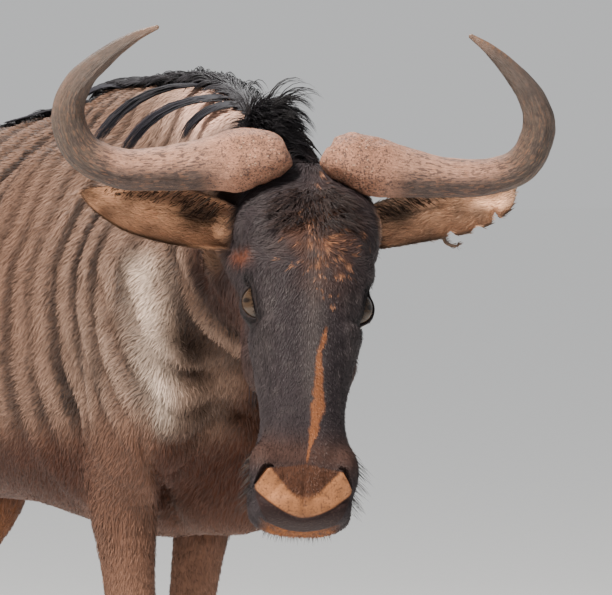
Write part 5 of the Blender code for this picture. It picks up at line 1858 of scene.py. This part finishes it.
def grow_mane():
    """Short dark hair all along the crest, brushed back and to both sides, lying close."""
    source = np.random.default_rng(7)
    locks, each = int(640 * LIGHT), 7
    lock = np.repeat(np.arange(locks), each)
    fine = np.clip(np.repeat(source.random(locks) ** 0.85, each) + 0.005 * source.standard_normal(len(lock)), 0, 1)
    apart = np.repeat(source.uniform(-0.32, 0.80, locks), each) + 0.10 * source.standard_normal(len(lock))
    roots = crest_roots(fine, apart)
    rising = ramp(fine, 0.30, 0.55)
    aims = np.stack([0.9 * apart + 0.02, 1.0 - 0.25 * rising, 0.22 + 0.34 * rising], 1)
    aims += 0.07 * source.standard_normal(aims.shape)
    length = 0.038 + 0.020 * rising + 0.050 * ramp(apart, 0.10, 0.55)
    length = length * np.repeat(source.uniform(0.7, 1.2, locks), each)
    length = length * (1 - 0.55 * ramp(fine, 0.70, 0.86) * ramp(apart, 0.20, -0.05))
    fall = (0.18 + 0.06 * rising) * np.repeat(source.uniform(0.7, 1.3, locks), each)
    paths = strand_paths(roots, aims, length, fall, 0.003, lock, 0.75)
    width = source.uniform(0.0016, 0.0030, len(lock))
    tones = HAIR * source.uniform(0.6, 2.0, (len(lock), 1))
    return strand_mesh("mane_crest", paths, width, tones, np.stack([fine, apart], 1), long_coat)


def grow_locks():
    """Long flat locks that leave the crest, sweep back and hang down the neck, most of them on
    the right. The hairs of a lock run side by side and meet only at its tip."""
    source = np.random.default_rng(17)
    start = np.append((0.14, 0.30, 0.650, 0.765, 0.810), source.uniform(0.15, 0.82, 13))
    locks, each = len(start), int(80 * LIGHT)
    lock = np.repeat(np.arange(locks), each)
    hand = np.where(np.arange(locks) < 5, -1.0, 1.0)
    slant = source.uniform(0.45, 1.0, locks)
    long = (0.09 + 0.10 * ramp(start, 0.2, 0.6)) * source.uniform(0.85, 1.1, locks)
    long[2:5] *= (1.15, 1.15, 0.65)  # two long locks and a short one hang on the right
    fine = start[lock] + 0.0065 * source.standard_normal(len(lock))
    apart = hand[lock] * (0.10 + 0.35 * source.random(len(lock)))
    roots = crest_roots(np.clip(fine, 0, 1), apart)
    aims = np.stack([hand[lock] * 0.70, slant[lock], 0.20 - 0.08 * slant[lock]], 1)
    aims += 0.035 * source.standard_normal(aims.shape)
    length = long[lock] * source.uniform(0.75, 1.05, len(lock))
    paths = strand_paths(roots, aims, length, 0.24 + 0 * fine, 0.0035, lock, 0.62)
    width = source.uniform(0.0018, 0.0030, len(lock))
    # The added blue is a painted bluish sheen on the black hair.
    tones = (HAIR + [0.0, 0.0004, 0.0015]) * source.uniform(0.7, 2.2, (len(lock), 1))
    return strand_mesh("mane_locks", paths, width, tones, np.stack([fine, apart], 1), long_coat)


def grow_forelock():
    """Hair of the crown between the horns: a dark tuft that stands up and arches to both sides."""
    source = np.random.default_rng(18)
    locks, each = int(150 * LIGHT), 9
    lock = np.repeat(np.arange(locks), each)
    fine = np.clip(np.repeat(source.uniform(0.86, 1.0, locks), each) + 0.004 * source.standard_normal(len(lock)), 0, 1)
    apart = np.repeat(source.uniform(-1.3, 1.6, locks), each) + 0.2 * source.standard_normal(len(lock))
    roots = crest_roots(fine, apart)
    wisp = np.repeat(source.random(locks) < 0.10, each)
    aims = np.stack([0.60 * apart + 0.30, -0.45 + 0 * apart, 0.55 - 0.15 * np.abs(apart)], 1)
    aims = np.where(wisp[:, None], [0.42, -0.28, 0.95], aims)
    aims += np.repeat(0.20 * source.standard_normal((locks, 3)), each, axis=0)
    aims += 0.06 * source.standard_normal(aims.shape)
    length = np.repeat(source.uniform(0.030, 0.058, locks), each) + 0.045 * wisp
    paths = strand_paths(roots, aims, length, 0.17 + 0.15 * wisp, 0.004, lock, 0.5)
    width = source.uniform(0.0011, 0.0020, len(lock))
    tones = HAIR * source.uniform(0.6, 2.0, (len(lock), 1))
    return strand_mesh("forelock", paths, width, tones, np.stack([fine, apart], 1), long_coat)


def grow_forehead():
    """Longer hair low on the crown, in front of the horns' bosses, lying down and sideways."""
    source = np.random.default_rng(19)
    count = int(900 * LIGHT)
    across, up = source.uniform(-0.060, 0.060, count), source.uniform(0.085, 0.165, count)
    guess = HEAD_PLACE + np.stack([across, up, 0.10 + 0 * up], 1) @ FACE_AXES
    roots = on_skin(guess)
    aims = np.stack([1.2 * across / 0.05, -0.55 + 0 * up, 0.25 + 0 * up], 1)
    aims = (aims + 0.25 * source.standard_normal(aims.shape)) @ FACE_AXES
    lock = (across * 250).astype(int) + 1000 * (up * 150).astype(int)
    order = np.argsort(lock, kind="stable")
    roots, aims, lock, across, up = (values[order] for values in (roots, aims, lock, across, up))
    length = source.uniform(0.014, 0.030, count)
    paths = strand_paths(roots, aims, length, 0.05 + 0 * up, 0.0012, lock, 0.5)
    width = source.uniform(0.0008, 0.0014, count)
    tones = mix(np.tile(FACE, (count, 1)), STAIN, 0.4 * source.random(count)) * 0.36
    return strand_mesh("forehead_hair", paths, width, tones, np.stack([across, up], 1), long_coat)


def grow_nape():
    """Finer hair on both sides of the neck, just behind the ears and the crown, coloured like the skin at its roots:
    pale pink on the side towards the camera, where the nape's pale hair carries painted sunlight.
    """
    source = np.random.default_rng(8)
    locks = int(110 * LIGHT)
    each = 7
    lock = np.repeat(np.arange(locks), each)
    fine = np.clip(np.repeat(source.uniform(0.80, 0.94, locks), each), 0, 1)
    row = along_path(MANE, fine)
    hand = np.repeat(np.where(source.random(locks) < 0.30, 1.0, -1.0), each)
    apart = np.repeat(source.uniform(0.9, 2.8, locks), each) + 0.15 * source.standard_normal(len(lock))
    roots = on_skin(row[:, :3] + np.stack([hand * apart * 0.020, 0 * apart, -0.02 - 0.010 * apart], 1))
    aims = np.stack([hand * 0.9, 0 * apart + 0.45, 0.25 - 0.2 * apart], 1)
    aims += 0.12 * source.standard_normal(aims.shape)
    length = source.uniform(0.022, 0.042, len(lock))
    paths = strand_paths(roots, aims, length, 0.3 + 0 * apart, 0.003, lock, 0.6)
    width = source.uniform(0.0012, 0.0020, len(lock))
    tones = tone_at(roots) * source.uniform(0.7, 1.3, (len(lock), 1))
    return strand_mesh("nape_locks", paths, width, tones, np.stack([fine, hand * apart], 1), long_coat)


def grow_beard():
    """Black hair hanging from the throat between the jaw and the brisket."""
    source = np.random.default_rng(9)
    locks = int(150 * LIGHT)
    each = 11
    lock = np.repeat(np.arange(locks), each)
    fine = np.clip(np.repeat(source.random(locks), each) + 0.008 * source.standard_normal(len(lock)), 0, 1)
    row = along_path(BEARD, fine)
    apart = np.repeat(source.uniform(-1, 1, locks), each) + 0.2 * source.standard_normal(len(lock))
    high = row[:, :3] + np.stack([apart * 0.022, 0 * apart, row[:, 4] + 0.01], 1)
    roots = on_skin(high)
    aims = np.stack([0.25 * apart, -0.25 + 0 * apart, -1 + 0 * apart], 1) + 0.08 * source.standard_normal((len(lock), 3))
    drop = roots[:, 2] - (row[:, 2] - row[:, 4])
    length = np.clip(drop, 0.03, 0.16) * np.repeat(source.uniform(0.6, 1.05, locks), each)
    paths = strand_paths(roots, aims, length, 0.25 + 0 * apart, 0.003, lock, 0.75)
    width = source.uniform(0.0016, 0.0028, len(lock))
    tones = HAIR * source.uniform(0.7, 1.8, (len(lock), 1))
    return strand_mesh("beard_locks", paths, width, tones, np.stack([fine, apart], 1), long_coat)


def grow_tail_brush():
    """Hair that starts round the lower tail and hangs along it. Each strand keeps its place in
    the brush's section, so the brush has the tail's own outline."""
    source = np.random.default_rng(10)
    count = int(1500 * LIGHT)
    start = 0.44 + 0.34 * source.random(count) ** 1.3
    reach = np.minimum(start + source.uniform(0.22, 0.50, count), 1.0)
    turn, deep = source.random(count) * 2 * pi, np.sqrt(source.random(count))
    share = np.linspace(0, 1, STEPS + 1)
    at = start[:, None] + (reach - start)[:, None] * share
    row = along_path(TAIL, at.ravel()).reshape(count, STEPS + 1, 5)
    root_in = 0.35 + 0.65 * ramp(share, 0.0, 0.35)[None]
    out = deep[:, None] * root_in * (1 + 0.06 * source.standard_normal((count, 1)))
    x = row[..., 0] + row[..., 3] * out * np.cos(turn)[:, None]
    y = row[..., 1] + row[..., 4] * out * np.sin(turn)[:, None]
    paths = np.stack([x, y, row[..., 2]], -1)
    paths += 0.004 * share[None, :, None] * source.standard_normal((count, 1, 3))
    width = source.uniform(0.0018, 0.0032, count)
    tones = HAIR * source.uniform(0.7, 1.7, (count, 1))
    return strand_mesh("tail_brush_locks", paths, width, tones, np.stack([turn, start], 1), long_coat)


def grow_ear_fringe():
    """Dark hair hanging from each ear's upper rim over its open side, and a pale tuft at the
    root."""
    source = np.random.default_rng(11)
    made = []
    for name, ear in (("right", EAR_RIGHT), ("left", EAR_LEFT)):
        count = int(900 * LIGHT)
        upper = source.random(count) < 0.34
        share = np.where(upper, source.uniform(0.02, 0.86, count), source.uniform(0.04, 0.60, count))
        across = np.where(upper, source.uniform(0.35, 0.97, count), source.uniform(-0.75, 0.30, count))
        roots = ear_place(ear, share, across, 0.0008)
        root, tip, along, up, out = ear_frame(ear)
        aims = 0.55 * along - 0.55 * up + 0.45 * out
        aims = np.where(upper[:, None], aims, along + 0.30 * across[:, None] * up + 0.20 * out)
        aims = aims + 0.16 * source.standard_normal((count, 3))
        length = source.uniform(0.012, 0.030, count) * (1.15 - share)
        lock = (share * 60).astype(int) + 100 * (across * 6).astype(int)
        order = np.argsort(lock, kind="stable")
        roots, aims, length, lock, share, across, upper = (
            values[order] for values in (roots, aims, length, lock, share, across, upper)
        )
        paths = strand_paths(roots, aims, length, 0.06 + 0 * share, None, lock, 0.25)
        pale = (across > 0.9) | (share < 0.08)
        tones = np.where(pale[:, None], PALE * 0.14, BAND * 0.8)
        tones = np.where(upper[:, None], tones, tone_at(roots)) * source.uniform(0.45, 1.5, (count, 1))
        width = source.uniform(0.0008, 0.0013, count)
        raw = np.stack([share, across], 1)
        made.append(strand_mesh("ear_fringe_" + name, paths, width, tones, raw, long_coat))
    return made


def grow_face_hair():
    """Bristles on the chin, whiskers beside the nostrils, and lashes over the eyes."""
    source = np.random.default_rng(12)
    count = int(700 * LIGHT)
    across = source.uniform(-0.052, 0.052, count)
    up = source.uniform(-0.300, -0.235, count)
    guess = HEAD_PLACE + np.stack([across, up, -0.085 + 0 * up], 1) @ FACE_AXES
    roots = on_skin(guess)
    aims = np.stack([0.4 * across / 0.05, -0.9 + 0 * up, -0.45 + 0 * up], 1) @ FACE_AXES
    length = source.uniform(0.008, 0.020, count)
    tones = [mix(np.tile(HAIR, (count, 1)), STAIN * 0.4, source.random(count))]
    whiskers = int(180 * LIGHT)
    hand = np.where(source.random(whiskers) < 0.5, -1.0, 1.0)
    high = source.uniform(-0.275, -0.190, whiskers)
    far = source.uniform(-0.045, 0.030, whiskers)
    side = on_skin(HEAD_PLACE + np.stack([0.085 * hand, high, far], 1) @ FACE_AXES)
    roots = np.vstack([roots, side])
    aims = np.vstack([aims, np.stack([0.75 * hand, -0.65 + 0 * high, 0.15 + 0 * high], 1) @ FACE_AXES])
    length = np.append(length, source.uniform(0.012, 0.034, whiskers))
    tones.append(np.where(source.random((whiskers, 1)) < 0.15, PALE * 0.10, HAIR * 1.2))
    lashes = int(44 * LIGHT)
    for hand in (-1, 1):
        centre, axes = eye_frame(hand)
        turn = np.linspace(0.28, 0.76, lashes) * pi
        along, rise = lid_outline(turn)
        local = over_ball(along, rise, EYE_RADIUS + 0.0026)
        roots = np.vstack([roots, centre + local @ axes])
        local = np.stack([0.35 * np.cos(turn), 0.45 + 0 * turn, 0.95 + 0 * turn], 1)
        aims = np.vstack([aims, local @ axes + [0, 0, -0.25]])
        length = np.append(length, source.uniform(0.007, 0.013, lashes))
        tones.append(np.tile(HAIR * 0.8, (lashes, 1)))
    aims = aims + 0.12 * source.standard_normal(aims.shape)
    total = len(roots)
    paths = strand_paths(roots, aims, length, 0.05 + 0 * length, None, np.arange(total), 0.0)
    width = np.where(np.arange(total) < count, 0.0007, 0.0006)
    raw = in_face(roots)[:, :2]
    return strand_mesh("face_whiskers", paths, width, np.vstack(tones), raw, long_coat)


mane = grow_mane()
locks = grow_locks()
forelock = grow_forelock()
forehead = grow_forehead()
nape = grow_nape()
beard = grow_beard()
brush = grow_tail_brush()
fringes = grow_ear_fringe()
whiskers = grow_face_hair()
long_pieces = [mane, locks, forelock, forehead, nape, beard, brush, *fringes, whiskers]
print("long hair:", {made.name: len(made.data.polygons) for made in long_pieces})

# %% [markdown]
# ## Floor, light and camera
# The animal stands on a pale floor that runs out of sight under a plain pale sky. A large soft
# light comes from the upper left, as in the photo, with a weak one from the right.
# The camera looks from the photo's angle and cuts the picture in the same places.

# %% Stage
def floor_material():
    """Pale floor with a faint speckle."""
    made, place, shader = new_material("studio_floor", Specular_IOR_Level=0.0)
    speck = place.noise(30.0)
    colour = speck.node("ShaderNodeRGB", {}, {})
    colour.socket.default_value = (0.975, 0.975, 0.97, 1.0)
    finish_material(shader, colour.shade(0.97 + 0.06 * speck), 0.75 + 0.1 * speck, speck, 0.0005, 0.2)
    return made


def make_floor(half=40.0):
    mesh = bpy.data.meshes.new("studio_floor")
    mesh.from_pydata([(-half, -half, 0), (half, -half, 0), (half, half, 0), (-half, half, 0)], [], [(0, 1, 2, 3)])
    made = bpy.data.objects.new("studio_floor", mesh)
    bpy.context.scene.collection.objects.link(made)
    mesh.materials.append(floor_material())
    return made


def add_light(name, azimuth, elevation, distance, size, power, colour):
    data = bpy.data.lights.new(name, "AREA")
    data.shape = "DISK"
    data.size = size
    data.energy = power
    data.color = colour
    made = bpy.data.objects.new(name, data)
    bpy.context.scene.collection.objects.link(made)
    way = Vector(view_axes(radians(azimuth), radians(elevation))[2])
    made.location = Vector((-0.05, -0.35, 1.0)) + distance * way
    made.rotation_euler = way.to_track_quat("Z", "Y").to_euler()


floor = make_floor()
add_light("key", -68, 50, 5.0, 0.8, 1250.0, (1.0, 0.93, 0.84))
add_light("fill", 25, 25, 6.0, 3.5, 100.0, (0.94, 0.97, 1.0))
add_light("rim", 150, 50, 5.0, 2.0, 260.0, (1.0, 1.0, 1.0))
world = bpy.data.worlds.new("studio")
bpy.context.scene.world = world
world.use_nodes = True
world.node_tree.nodes["Background"].inputs["Color"].default_value = (0.88, 0.89, 0.90, 1.0)
world.node_tree.nodes["Background"].inputs["Strength"].default_value = 0.68

PIXEL = 0.0013  # metres in the model for one pixel of the photo, at the head
back = Vector(VIEW_AXES[2])
camera = bpy.data.objects.new("camera", bpy.data.cameras.new("camera"))
bpy.context.scene.collection.objects.link(camera)
head = WITHERS + HEAD_PLACE
camera.location = Vector((head[0], head[1], 1.10175)) + VIEW_DISTANCE * back
camera.rotation_euler = back.to_track_quat("Z", "Y").to_euler()
camera.data.sensor_width = 36.0
camera.data.lens = VIEW_DISTANCE / PIXEL * 36.0 / 612
camera.data.clip_end = 200.0
bpy.context.scene.camera = camera
print("camera lens:", round(camera.data.lens, 1), "at", [round(c, 2) for c in camera.location])

# %% [markdown]
# ## Which node each piece stands for
# The skin and its short coat replace all of the plain flesh at once. Eyes, horns and hooves
# replace theirs one by one, and the long hair replaces the mane, the beard and the brush.

# %% Pieces and nodes
FLESH = ("head", "neck", "forequarters", "barrel", "hindquarters", "tail", "foreleg_right",
         "foreleg_left", "hindleg_right", "hindleg_left", "ear_right", "ear_left")
REGION_NODES = {"shoulder": "forequarters", "barrel": "barrel", "rump": "hindquarters", "neck": "neck"}


def stands_for(piece, slot, *nodes):
    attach(piece, "root")
    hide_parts(*nodes)


stands_for(skin, "hide", *FLESH)
for region, piece in coats.items():
    stands_for(piece, "hide", REGION_NODES.get(region.split("_")[0], region))
for node, piece in {**eyes, **horns, **hooves}.items():
    stands_for(piece, "hoof" if "hoof" in node else node.split("_")[0], node)
for node, piece in dew_claws.items():
    stands_for(piece, "hoof", node)
for piece in (mane, locks, forelock, nape):
    stands_for(piece, "long_hair", "mane")
stands_for(forehead, "long_hair", "head")
stands_for(beard, "long_hair", "beard")
stands_for(brush, "long_hair", "tail_brush")
for piece, node in zip(fringes, ("ear_right", "ear_left")):
    stands_for(piece, "long_hair", node)
stands_for(whiskers, "long_hair", "head")
